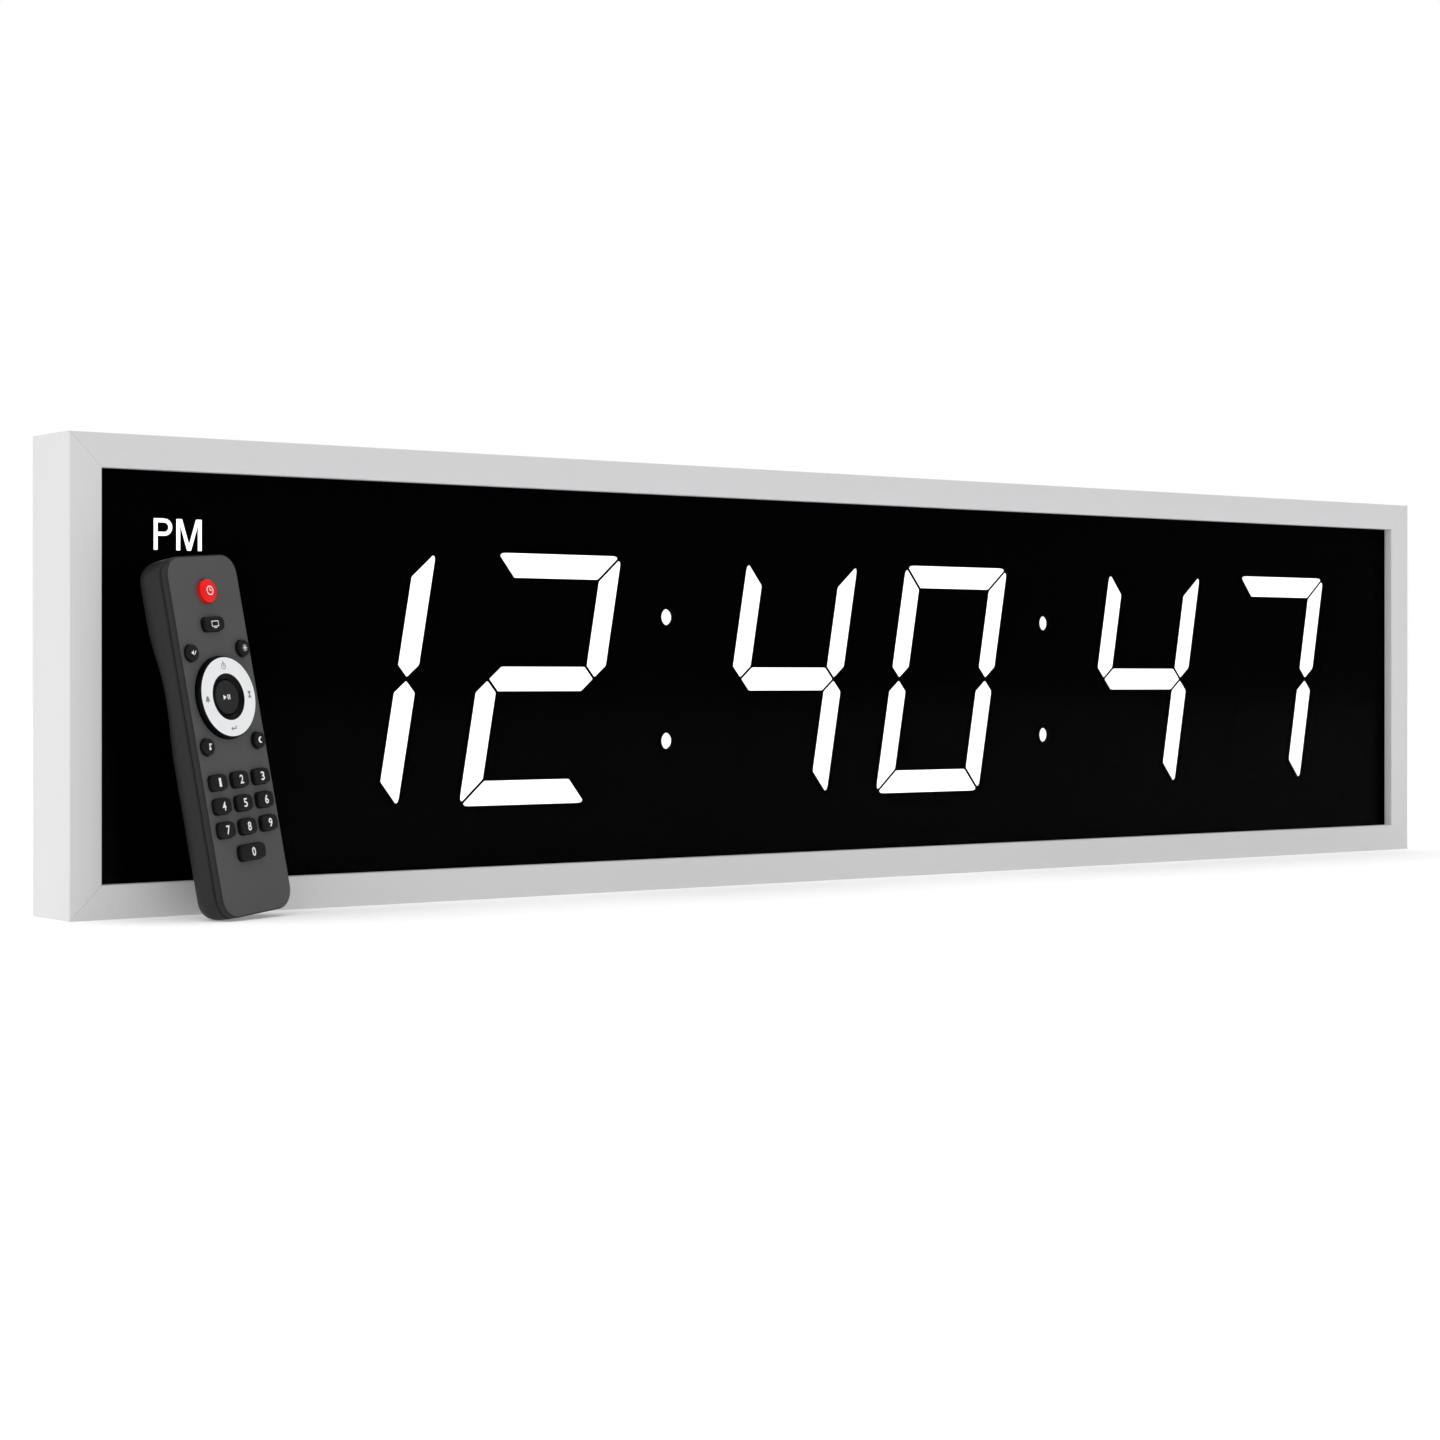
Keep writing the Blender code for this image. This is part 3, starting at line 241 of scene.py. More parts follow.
def softbox(name, place, aim, size, watts):
    """Square area light at place, turned to face aim."""
    data = bpy.data.lights.new(name, "AREA")
    data.size = size
    data.energy = watts
    lamp = bpy.data.objects.new(name, data)
    lamp.location = place
    lamp.rotation_euler = (Vector(aim) - Vector(place)).to_track_quat("-Z", "Y").to_euler()
    bpy.context.scene.collection.objects.link(lamp)


softbox("softbox_above", (-0.6, 0.2, 2.6), (0.0, 0.0, 0.0), 2.6, 12.0)

# ---------------------------------------------------------------- frame rails
# Four lengths of one aluminium extrusion, powder coated white and mitred at the corners.
# Each rail is its section, with small rolled edges, carried along the rail's length.
POWDER = (0.72, 0.72, 0.73)
ROLLED_EDGE = 0.0005
EDGE_STEPS = 4
MITRE_LINE = 0.00006
RAIL_WALL = 0.0018
RAIL_LIP = 0.006
RAIL_LEDGE = 0.0095
PIECE_SHARP = 35.0

low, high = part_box("frame_bottom_rail")
front_y, back_y, bezel = low[1], high[1], high[2]
ledge_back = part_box("hanger_plate_left")[1][1]
half_wide = solid_box[1][0]
timer_height = solid_box[1][2]
half_tall = timer_height / 2


def merged(name, points, faces, marks=None):
    """A mesh of points and faces, its doubles merged and its faces turned outwards."""
    mesh = bpy.data.meshes.new(name)
    mesh.from_pydata(np.asarray(points, float).tolist(), [], faces)
    if marks:
        attribute = mesh.attributes.new(marks[0], "FLOAT", "POINT")
        attribute.data.foreach_set("value", np.asarray(marks[1], np.float32))
    bm = bmesh.new()
    bm.from_mesh(mesh)
    bmesh.ops.remove_doubles(bm, verts=bm.verts, dist=1e-7)
    bmesh.ops.recalc_face_normals(bm, faces=bm.faces)
    bm.to_mesh(mesh)
    bm.free()
    return mesh


def finished(name, points, faces, finish, body, replaces=(), marks=None):
    """Puts points and faces into a piece that rides on body, with its sharper edges kept crisp.
    marks is a name and a number for each point, for its finish."""
    mesh = merged(name, points, faces, marks)
    mesh.shade_smooth()
    mesh.set_sharp_from_angle(angle=math.radians(PIECE_SHARP))
    mesh.materials.append(finish.material)
    piece = bpy.data.objects.new(name, mesh)
    bpy.context.scene.collection.objects.link(piece)
    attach(piece, body)
    if replaces:
        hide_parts(*replaces)
    return piece


def lattice_faces(rows, columns):
    """Quads of a rows by columns lattice of points numbered row by row, each row's ends joined."""
    row, column = np.meshgrid(np.arange(rows - 1), np.arange(columns), indexing="ij")
    following = (column + 1) % columns
    near, far = row * columns, (row + 1) * columns
    quads = np.stack([near + column, near + following, far + following, far + column], axis=-1)
    return quads.reshape(-1, 4).tolist()


def skin_faces(rows, columns):
    """A lattice closed round each row, with the first and the last row filled flat."""
    last = (rows - 1) * columns
    return lattice_faces(rows, columns) + [list(range(columns)), list(range(last, last + columns))]


def rolled(outline, radius, steps):
    """A polygon with each corner rounded to a quadratic curve of steps points, starting radius
    before the corner: (1 - t)^2 * first + 2 t (1 - t) * corner + t^2 * last."""
    outline = np.asarray(outline, float)
    before = np.roll(outline, 1, axis=0) - outline
    after = np.roll(outline, -1, axis=0) - outline
    lengths = [np.linalg.norm(side, axis=1, keepdims=True) for side in (before, after)]
    reach = [np.minimum(radius, length * 0.45) for length in lengths]
    first = outline + before / lengths[0] * reach[0]
    last = outline + after / lengths[1] * reach[1]
    t = np.linspace(0, 1, steps)[None, :, None]
    middle = 2 * t * (1 - t) * outline[:, None]
    curve = (1 - t) ** 2 * first[:, None] + middle + t**2 * last[:, None]
    return curve.reshape(-1, 2)


powder = Finish("powder_coat_white", POWDER, 0.42)
powder.bump(powder.noise(900.0), 0.00004)
powder.shade(powder.noise(14.0, 3.0), 0.985, 1.01)
powder.rough(powder.noise(120.0, 2.0), 0.36, 0.14)

ledge_front = ledge_back - RAIL_WALL
web_back = front_y + RAIL_WALL
lip_back = front_y + RAIL_LIP
section = [
    (front_y, 0), (back_y, 0), (back_y, RAIL_WALL), (ledge_back, RAIL_WALL),
    (ledge_back, RAIL_LEDGE), (ledge_front, RAIL_LEDGE), (ledge_front, RAIL_WALL),
    (web_back, RAIL_WALL), (web_back, bezel - RAIL_WALL), (lip_back, bezel - RAIL_WALL),
    (lip_back, bezel), (front_y, bezel),
]
depth, breadth = rolled(section, ROLLED_EDGE, EDGE_STEPS).T
rails = {
    "frame_bottom_rail": (half_wide, (1, 0), (0, 1), (0.0, 0.0)),
    "frame_top_rail": (half_wide, (-1, 0), (0, -1), (0.0, timer_height)),
    "frame_left_rail": (half_tall, (0, -1), (1, 0), (-half_wide, half_tall)),
    "frame_right_rail": (half_tall, (0, 1), (-1, 0), (half_wide, half_tall)),
}
for rail, (half, along, inwards, foot) in rails.items():
    reach = half - breadth - MITRE_LINE
    ends = []
    for end in (-1, 1):
        x = foot[0] + end * reach * along[0] + breadth * inwards[0]
        z = foot[1] + end * reach * along[1] + breadth * inwards[1]
        ends.append(np.stack([x, depth, z], axis=1))
    faces = skin_faces(2, len(depth))
    finished(rail + "_coated", np.concatenate(ends), faces, powder, "timer", [rail])

# ---------------------------------------------------------------- corner brackets and hanger plates
# Laser-cut zinc-plated steel: flat Ls pressed into the rails' channels at the corners,
# and two keyhole plates riveted behind the back cover that carry the timer's weight.
zinc = Finish("zinc_plated_steel", (0.56, 0.57, 0.58), 0.34, Metallic=1.0)
zinc.shade(zinc.noise(240.0, 3.0, (1.0, 1.0, 14.0)), 0.78, 1.12)
zinc.rough(zinc.noise(60.0, 4.0), 0.2, 0.26)
zinc.bump(zinc.noise(900.0, 2.0, (1.0, 1.0, 10.0)), 0.00002)


def coat(nodes, finish):
    """Gives carried solids their finish in place of the plain one they came with."""
    for node in nodes:
        mesh = frame["nodes"][node].data
        mesh.materials.clear()
        mesh.materials.append(finish.material)


coat([f"corner_bracket_{number}" for number in (1, 2, 3, 4)], zinc)
coat(["hanger_plate_left", "hanger_plate_right"], zinc)

# ---------------------------------------------------------------- circuit boards
# Glass-fibre boards under green solder mask, with tinned tracks: one for each pair of digits,
# one that runs the clock, and the one in the remote that its keys press on.
solder_mask = Finish("green_solder_mask", (0.012, 0.11, 0.04), 0.32)
brick = {"offset": 0.37, "squash": 0.6}
place = solder_mask.place()
tracks = solder_mask.node("ShaderNodeTexBrick", brick, place, Scale=160.0, Mortar_Size=0.06, out=1)
pads = solder_mask.node("ShaderNodeTexVoronoi", {}, solder_mask.place(), Scale=210.0)
tin = 1 - (pads > 0.16)
green = solder_mask.mix(tracks, (0.012, 0.11, 0.04), (0.03, 0.2, 0.08))
solder_mask.vary("Base Color", solder_mask.mix(tin, green, (0.62, 0.6, 0.56)))
solder_mask.vary("Metallic", tin)
solder_mask.bump(tracks, 0.00004)
boards = ["hours_led_board", "minutes_led_board", "seconds_led_board", "control_board"]
coat(boards + ["remote_circuit_board"], solder_mask)

# ---------------------------------------------------------------- parts on the boards
# A sounder with a moulded case, a coin cell that keeps the time in a power cut,
# and the receiver for the remote's light, moulded in a resin that only passes infrared.
moulding = Finish("black_moulding", (0.016, 0.016, 0.017), 0.42)
moulding.shade(moulding.noise(300.0, 3.0), 0.8, 1.25)
moulding.bump(moulding.noise(1600.0, 2.0), 0.00003)
coat(["buzzer"], moulding)

cell_steel = Finish("bright_cell_steel", (0.72, 0.72, 0.7), 0.22, Metallic=1.0)
cell_steel.rough(cell_steel.noise(400.0, 3.0, (1.0, 1.0, 12.0)), 0.14, 0.22)
cell_steel.bump(cell_steel.noise(700.0, 2.0, (12.0, 1.0, 1.0)), 0.00001)
coat(["backup_cell"], cell_steel)

infrared_resin = Finish("infrared_resin", (0.012, 0.006, 0.016), 0.12)
infrared_resin.shade(infrared_resin.noise(500.0), 0.7, 1.4)
coat(["ir_receiver", "ir_emitter"], infrared_resin)

# ---------------------------------------------------------------- mask
# A sheet of black polystyrene with a window for each segment, so that light from one
# doesn't spill into the next. It lies against the back of the smoked panel.
mask_finish = Finish("mask_matt_black", (0.0025, 0.0025, 0.0025), 0.8, Specular_IOR_Level=0.0)
mask_finish.shade(mask_finish.noise(40.0, 3.0), 0.6, 1.4)
mask_finish.bump(mask_finish.noise(1500.0), 0.00002)
coat(["segment_mask"], mask_finish)

# ---------------------------------------------------------------- digits
# Opal acrylic segments that fill the mask's windows and glow where the time needs them.
# Each digit is seven tapered bars leaned over by ten degrees, moulded on one plate per pair.
DIGIT_TALL = 0.1256
DIGIT_WIDE = 0.0758
DIGIT_LEAN = math.tan(math.radians(10.0))
LEVEL_BAR = 0.0122
UPRIGHT_BAR = 0.0117
BAR_SPLIT = 0.0013 / math.sqrt(2)
DIGIT_ROUND = 0.005
BAR_ROUND = 0.0006
DIGIT_PITCH = 0.1108
PLATE_THICK = 0.001
PAD_ROUND = 0.0001
GLOW = 5.0
LIT = {"0": "abcdef", "1": "bc", "2": "abged", "4": "fgbc", "7": "abc"}
SHOWN = {"hours": "12", "minutes": "40", "seconds": "47"}

opal = Finish("opal_segments", (0.0028, 0.0028, 0.0028), 0.6, Specular_IOR_Level=0.0)
opal.set("Emission Strength", GLOW)
glowing = opal.node("ShaderNodeAttribute", {"attribute_name": "lit"}, out=2)
opal.vary("Emission Color", opal.mix(glowing, (0.0, 0.0, 0.0), (1.0, 1.0, 1.0)))
opal.shade(opal.noise(300.0), 0.9, 1.1)


def corner_arc(first, last):
    """Arc of a digit's outer corner between two angles in degrees: middle + radius * (cos, sin)."""
    angle = np.radians(np.linspace(first, last, 7))
    middle = np.array([DIGIT_WIDE / 2 - DIGIT_ROUND, DIGIT_TALL / 2 - DIGIT_ROUND])
    return middle + DIGIT_ROUND * np.stack([np.cos(angle), np.sin(angle)], axis=1)


def bar_outlines():
    """Outlines a to g of an upright digit about its middle: one upright and one level bar,
    mirrored, and a hexagon between them."""
    x = DIGIT_WIDE / 2
    z = DIGIT_TALL / 2
    shoulder = BAR_SPLIT + UPRIGHT_BAR / 2
    arc = corner_arc(0.0, 45.0)
    arc[-1, 1] -= BAR_SPLIT
    inner = [(x - UPRIGHT_BAR, z - LEVEL_BAR - BAR_SPLIT), (x - UPRIGHT_BAR, shoulder)]
    upright = np.concatenate([inner, [(x - UPRIGHT_BAR / 2, BAR_SPLIT), (x, shoulder)], arc])
    arc = corner_arc(45.0, 90.0)
    arc[0, 0] -= BAR_SPLIT
    half = np.concatenate([[(x - UPRIGHT_BAR - BAR_SPLIT, z - LEVEL_BAR)], arc])
    level = np.concatenate([half, half[::-1] * (-1, 1)])
    tip = x - UPRIGHT_BAR / 2 - BAR_SPLIT
    thick = LEVEL_BAR / 2
    right = np.array([(tip - thick, -thick), (tip, 0), (tip - thick, thick)])
    return {
        "a": level,
        "b": upright,
        "c": upright * (1, -1),
        "d": level * (1, -1),
        "e": upright * (-1, -1),
        "f": upright * (-1, 1),
        "g": np.concatenate([right, right[::-1] * (-1, 1)]),
    }


def pad(outline, front, back):
    """A pad with a softened rim: rings of the outline, pulled in to its middle at the front."""
    away = outline - outline.mean(axis=0)
    away /= np.linalg.norm(away, axis=1, keepdims=True)
    rings = [(2.5 * PAD_ROUND, front), (PAD_ROUND, front + 0.4 * PAD_ROUND), (PAD_ROUND, back)]
    return np.concatenate([np.insert(outline - away * pull, 1, y, axis=1) for pull, y in rings])


def plate(low, high, front, back, rim=0.0):
    """A rectangular sheet in the display's plane, rim inside a box, as two rings of corners."""
    left, right, foot, top = low[0] + rim, high[0] - rim, low[2] + rim, high[2] - rim
    corners = [(left, foot), (right, foot), (right, top), (left, top)]
    return np.array([(x, y, z) for y in (front, back) for x, z in corners])


class Gathered:
    """Collects surfaces into one mesh, with a number for each point."""

    def __init__(self):
        self.points = []
        self.faces = []
        self.values = []
        self.count = 0

    def add(self, points, faces, value=0.0):
        self.points.append(points)
        self.faces += [[corner + self.count for corner in face] for face in faces]
        self.values.append(np.full(len(points), float(value)))
        self.count += len(points)

    def all_points(self):
        return np.concatenate(self.points)

    def lit(self, name, replaces=()):
        """Finishes the collected surfaces as an opal piece that glows where its numbers say."""
        marks = ("lit", np.concatenate(self.values))
        points = self.all_points()
        finished(name, points, self.faces, opal, "timer", replaces, marks=marks)


mask_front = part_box("segment_mask")[0][1]
pad_front = mask_front + PAD_ROUND
for pair, text in SHOWN.items():
    low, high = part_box(pair + "_diffuser")
    plate_front = high[1] - PLATE_THICK
    middle_x = (low[0] + high[0]) / 2
    middle_z = (low[2] + high[2]) / 2
    digits = Gathered()
    digits.add(plate(low, high, plate_front, high[1]), skin_faces(2, 4))
    for character, offset in zip(text, (-DIGIT_PITCH / 2, DIGIT_PITCH / 2)):
        for letter, outline in bar_outlines().items():
            leaned = rolled(outline, BAR_ROUND, 3)
            leaned[:, 0] += middle_x + offset + leaned[:, 1] * DIGIT_LEAN
            leaned[:, 1] += middle_z
            segment = pad(leaned, pad_front, plate_front - PAD_ROUND)
            digits.add(segment, skin_faces(3, len(leaned)), letter in LIT[character])
    digits.lit(pair + "_digits", [pair + "_diffuser"])

# ---------------------------------------------------------------- colons
# Two round opal studs between pairs of digits, on a short strip, set deep in the mask.
# They blink with the seconds, and stand upright, one straight above the other.
COLON_ROUND = 0.0043
COLON_SPREAD = 0.0643
STUD_EDGE = 0.0003


def turned(profile, sides):
    """A profile of (radius, height) turned about its axis, with its faces: each point becomes a row
    of points (radius * cos, radius * sin, height)."""
    profile = np.asarray(profile, float)
    angle = np.linspace(0, 2 * math.pi, sides, endpoint=False)
    circle = np.stack([np.cos(angle), np.sin(angle)], axis=1)
    rows = profile[:, None, :1] * circle[None]
    heights = np.broadcast_to(profile[:, None, 1:], (len(profile), sides, 1))
    points = np.concatenate([rows, heights], axis=2).reshape(-1, 3)
    return points, lattice_faces(len(profile), sides)


def edge_round(radius, height, edge, steps=5):
    """Quarter circle of (radius, height) points from a turned piece's side over to its flat end."""
    angle = np.linspace(0, math.pi / 2, steps)
    arc = np.stack([np.cos(angle), np.sin(angle)], axis=1)
    return (radius - edge, height - edge) + edge * arc


def facing(points, centre, sign=-1.0):
    """Turns a piece made along +Z to stand out along Y, -1 being forwards, its foot at centre."""
    x, y, z = points.T
    return np.stack([centre[0] + x, centre[1] + sign * z, centre[2] + y], axis=1)


for side in ("left", "right"):
    low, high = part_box(side + "_colon_lens")
    strip_front = high[1] - PLATE_THICK
    colon = Gathered()
    colon.add(plate(low, high, strip_front, high[1]), skin_faces(2, 4))
    rise = strip_front - low[1]
    rim = edge_round(COLON_ROUND, rise, STUD_EDGE)
    points, faces = turned(np.concatenate([[(0, 0), (COLON_ROUND, 0)], rim, [(0, rise)]]), 32)
    for up in (COLON_SPREAD / 2, -COLON_SPREAD / 2):
        centre = ((low[0] + high[0]) / 2, strip_front, (low[2] + high[2]) / 2 + up)
        colon.add(facing(points, centre), faces, 1.0)
    colon.lit(side + "_colon", [side + "_colon_lens"])

# ---------------------------------------------------------------- half-day legend
# A small window in the mask's upper left corner, with two plain capitals that light up
# after noon. The letters are cut from the same opal sheet as the segments.
LETTERS_LEFT = -0.4114
LETTERS_RIGHT = -0.3873
LETTERS_FOOT = 0.1675
LETTERS_TOP = 0.1819
LETTERS_PROUD = 0.00016
STROKE = 0.125
BOWL_WIDE = 0.63
BOWL_FOOT = 0.45
M_WIDE = 0.87
M_NOTCH = 0.82
LETTER_GAP = 0.15
WINDOW_RIM = 0.003
WINDOW_SET_BACK = 0.0001

low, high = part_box("half_day_lens")
window_front = high[1] - PLATE_THICK
window = Gathered()
window.add(plate(low, high, window_front, high[1]), skin_faces(2, 4))
stub = plate(low, high, low[1] + WINDOW_SET_BACK, window_front, WINDOW_RIM)
window.add(stub, skin_faces(2, 4))
window.lit("half_day_window", ["half_day_lens"])


def sign_plate(outline):
    """A flat shape: its outline at the back and at the front."""
    outline = np.asarray(outline, float)
    rings = [np.insert(outline, 2, side, axis=1) for side in (-1.0, 1.0)]
    return np.concatenate(rings), skin_faces(2, len(outline))


def bowl(inset):
    """Upper loop of a P, pulled in by inset: a half circle between level lines from the stem."""
    radius = (1 - BOWL_FOOT) / 2
    angle = np.linspace(-math.pi / 2, math.pi / 2, 19)
    middle = (BOWL_WIDE - radius, 1 - radius)
    half = np.stack([np.cos(angle), np.sin(angle)], axis=1) * (radius - inset) + middle
    return np.concatenate([[(STROKE, BOWL_FOOT + inset)], half, [(STROKE, 1 - inset)]])


stem = [(0, 0), (STROKE, 0), (STROKE, 1), (0, 1)]
loop = np.concatenate([bowl(0.0), bowl(STROKE)[::-1]])
half_m = [(0, 1), (0, 0), (STROKE, 0), (STROKE, M_NOTCH), (M_WIDE / 2 - STROKE / 2, 0)]
right_half = [(M_WIDE - x, z) for x, z in half_m[::-1]]
shoulders = [(M_WIDE - STROKE * 1.5, 1), (M_WIDE / 2, 1 - M_NOTCH), (STROKE * 1.5, 1)]
m_start = (BOWL_WIDE + LETTER_GAP, 0)
capital_m = np.array(half_m + right_half + shoulders) + m_start
letters_wide = (LETTERS_RIGHT - LETTERS_LEFT) / (m_start[0] + M_WIDE)
scale = (letters_wide, LETTERS_TOP - LETTERS_FOOT)
letters = Gathered()
for outline in (stem, loop, capital_m):
    points, faces = sign_plate(np.array(outline) * scale + (LETTERS_LEFT, LETTERS_FOOT))
    x, z, side = points.T
    y = mask_front - (side + 1) / 2 * LETTERS_PROUD
    letters.add(np.stack([x, y, z], axis=1), faces, 1.0)
letters.lit("half_day_letters")

# ---------------------------------------------------------------- front panel
# One sheet of smoked acrylic, polished on its face, slipped in behind the frame's lip.
# It hides the mask's windows until they are lit.
smoked = Finish("smoked_acrylic", (0.0004, 0.0004, 0.0005), 0.06, Specular_IOR_Level=0.03)
smoked.set("Alpha", 0.4)
smoked.rough(smoked.noise(30.0, 3.0), 0.04, 0.05)
coat(["front_panel"], smoked)

# ---------------------------------------------------------------- back cover
# Black powder-coated sheet steel, punched with two blocks of vent slots, the keyholes
# and a hole for the power inlet. Four screws hold it to the rails' rear flanges.
cover_paint = Finish("black_powder_coat", (0.022, 0.022, 0.024), 0.5)
cover_paint.shade(cover_paint.noise(9.0, 4.0), 0.85, 1.2)
cover_paint.rough(cover_paint.noise(220.0, 3.0), 0.4, 0.2)
cover_paint.bump(cover_paint.noise(1100.0, 3.0), 0.00008)
coat(["back_cover"], cover_paint)

# ---------------------------------------------------------------- cover screws
# Pan-head steel screws, zinc plated, with a cross recess punched in the head. They go
# through the back cover and into the rails' rear flanges.
SCREW_HEAD = 0.0032
SCREW_HEAD_TALL = 0.0013
SCREW_SHANK = 0.00142
SCREW_LONG = 0.009
CROSS_ARM = 0.00042
CROSS_REACH = 0.0019
CROSS_DEEP = 0.0009
CROSS_SOFT = 0.00012
CROSS_FADE = 0.0004
HEAD_FALL = 0.55
HEAD_POWER = 3.4
HEAD_ROWS = 26
SCREW_SIDES = 64


def screw_surface():
    """A turned pan head, shank and point. The head's height falls as a power of the radius, and
    a ramp from 0 to 1 across the edges of a cross sinks its middle."""
    radius = np.linspace(0, SCREW_HEAD * 0.985, HEAD_ROWS)
    dome = SCREW_HEAD_TALL * (1 - HEAD_FALL * (radius / SCREW_HEAD) ** HEAD_POWER)
    under = [(SCREW_HEAD, SCREW_HEAD_TALL * 0.3), (SCREW_HEAD, 0), (SCREW_SHANK, 0)]
    tip = [(SCREW_SHANK, SCREW_SHANK - SCREW_LONG), (0, -SCREW_LONG)]
    profile = np.concatenate([np.stack([radius, dome], axis=1), under, tip])
    points, faces = turned(profile, SCREW_SIDES)
    top = points[: HEAD_ROWS * SCREW_SIDES]
    across = np.minimum(np.abs(top[:, 0]), np.abs(top[:, 1]))
    along = np.maximum(np.abs(top[:, 0]), np.abs(top[:, 1]))
    slot = np.clip((CROSS_ARM - across) / CROSS_SOFT + 0.5, 0, 1)
    top[:, 2] -= CROSS_DEEP * slot * np.clip((CROSS_REACH - along) / CROSS_FADE, 0, 1)
    return points, faces


points, faces = screw_surface()
cover_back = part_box("back_cover")[1][1]
for number in (1, 2, 3, 4):
    screw = f"cover_screw_{number}"
    low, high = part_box(screw)
    centre = ((low[0] + high[0]) / 2, high[1] - SCREW_HEAD_TALL, (low[2] + high[2]) / 2)
    place = facing(points, centre, 1.0)
    finished(screw + "_cross_head", place, faces, zinc, "timer", [screw])

# ---------------------------------------------------------------- power inlet
# A round socket for the mains adapter's plug: a moulded barrel with a nickel-plated pin,
# clamped in the back cover between its flange and its body.
NOSE_ROUND = 0.0039
BORE_ROUND = 0.00315
PIN_ROUND = 0.001
PIN_SET_BACK = 0.002
BORE_FLOOR = 0.0015
CLAMP_GAP = 0.0003
MOUTH_EDGE = 0.0004

low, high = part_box("dc_power_jack")
inlet = ((low[0] + high[0]) / 2, 0.0, (low[2] + high[2]) / 2)
flange = (high[0] - low[0]) / 2
foot, mouth = low[1], high[1]
clamp_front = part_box("back_cover")[0][1] - CLAMP_GAP
clamp_back = cover_back + CLAMP_GAP
bore_floor = foot + BORE_FLOOR
body_side = [(0, foot), (flange, foot), (flange, clamp_front), (NOSE_ROUND, clamp_front)]
nose_side = [(NOSE_ROUND, clamp_back), (flange, clamp_back)]
bore = [(BORE_ROUND + CLAMP_GAP, mouth), (BORE_ROUND, mouth - CLAMP_GAP)]
bore += [(BORE_ROUND, bore_floor), (0, bore_floor)]
mouth_edge = edge_round(flange, mouth, MOUTH_EDGE)
points, faces = turned(np.concatenate([body_side, nose_side, mouth_edge, bore]), 48)
place, replaced = facing(points, inlet, 1.0), ["dc_power_jack"]
finished("power_inlet_barrel", place, faces, moulding, "timer", replaced)

nickel = Finish("nickel_plate", (0.72, 0.7, 0.65), 0.2, Metallic=1.0)
nickel.rough(nickel.noise(500.0, 3.0), 0.14, 0.16)
nickel.shade(nickel.noise(120.0, 2.0), 0.85, 1.05)
pin_tip = mouth - PIN_SET_BACK
pin_edge = edge_round(PIN_ROUND, pin_tip, MOUTH_EDGE)
pin = np.concatenate([[(0, bore_floor), (PIN_ROUND, bore_floor)], pin_edge, [(0, pin_tip)]])
points, faces = turned(pin, 24)
finished("power_inlet_pin", facing(points, inlet, 1.0), faces, nickel, "timer")

# ---------------------------------------------------------------- remote: front shell
# The remote's face, moulded in dark grey ABS with a fine spark-eroded texture. It has a hole
# for each key and snaps onto the rear shell along a shallow groove.
joints = {joint["name"]: joint for joint in frame["joints"]}
ACROSS = np.array(joints["nav_ring_tilt"]["axis"])
ALONG = -np.array(joints["battery_door_slide"]["axis"])
OUTWARD = -np.array(joints["key_0_press"]["axis"])
RING_UP = 0.0166
remote_middle = np.array(joints["nav_ring_tilt"]["pos_m"]) - RING_UP * ALONG
axes = np.stack([ACROSS, ALONG, OUTWARD])


def standing(points):
    """Carries points from the remote's own frame, across, along and out of its face, to where
    it leans: each times its axis, added up from the middle."""
    return remote_middle + np.asarray(points, float) @ axes


def remote_box(node):
    """Lowest and highest corner of a carried solid in the remote's own frame."""
    mesh = frame["nodes"][node].data
    points = np.empty(len(mesh.vertices) * 3)
    mesh.vertices.foreach_get("co", points)
    local = (points.reshape(-1, 3) - remote_middle) @ axes.T
    return local.min(axis=0), local.max(axis=0)


REMOTE_LONG = 0.164
REMOTE_WIDE = 0.048
REMOTE_THICK = 0.0176
REMOTE_CORNER = 0.0095
REMOTE_WALL = 0.0015
HEAD_THICK = 0.0195
NECK_AT = 0.041
NECK_SPAN = 0.030
WAIST_DEEP = 0.0019
WAIST_AT = 0.020
WAIST_SPAN = 0.062
FACE_DEEP = 0.0042
PARTING = 0.0003
SEAT_GAP = 0.00003
FACE_BEVEL = 0.0012
BEVEL_FLAT = 0.85
CHAMFER = 0.0003
GROOVE_DEEP = 0.0011
GROOVE_TALL = 0.0007
CORNER_STEPS = 13
SIDE_STATIONS = 60
CUT_SHARP = 30.0
KEY_PLAY = 0.0003
RING_PLAY = 0.0005
KEY_FLANGE = 0.0008


def remote_edge(inset):
    """Outline of the remote pulled in by inset: quarter circles and stations down the sides."""
    x = REMOTE_WIDE / 2 - REMOTE_CORNER
    y = REMOTE_LONG / 2 - REMOTE_CORNER
    angle = np.linspace(math.pi / 2, 0, CORNER_STEPS)
    radius = REMOTE_CORNER - inset
    corner = np.stack([x + radius * np.cos(angle), y + radius * np.sin(angle)], axis=1)
    stations = np.linspace(y, -y, SIDE_STATIONS + 2)[1:-1]
    side = np.stack([np.full(len(stations), REMOTE_WIDE / 2 - inset), stations], axis=1)
    right = np.concatenate([corner, side, corner[::-1] * (1, -1)])
    return np.concatenate([right, right[::-1] * (-1, 1)])


def level(inset, height):
    """The remote's outline at one height above or below its face."""
    return np.insert(remote_edge(inset), 2, height, axis=1)


# Painted shade: where a surface's normal turns more than about 21 degrees from straight out of the
# face, its colour is painted shade. The rims, sides, key holes, grip and door all take a much
# darker grey than the face.
FACE_GREY = (0.084, 0.084, 0.085)
SHADED_SIDE_GREY = (0.014, 0.014, 0.0145)
SHADE_PAINTED_BELOW = 0.93

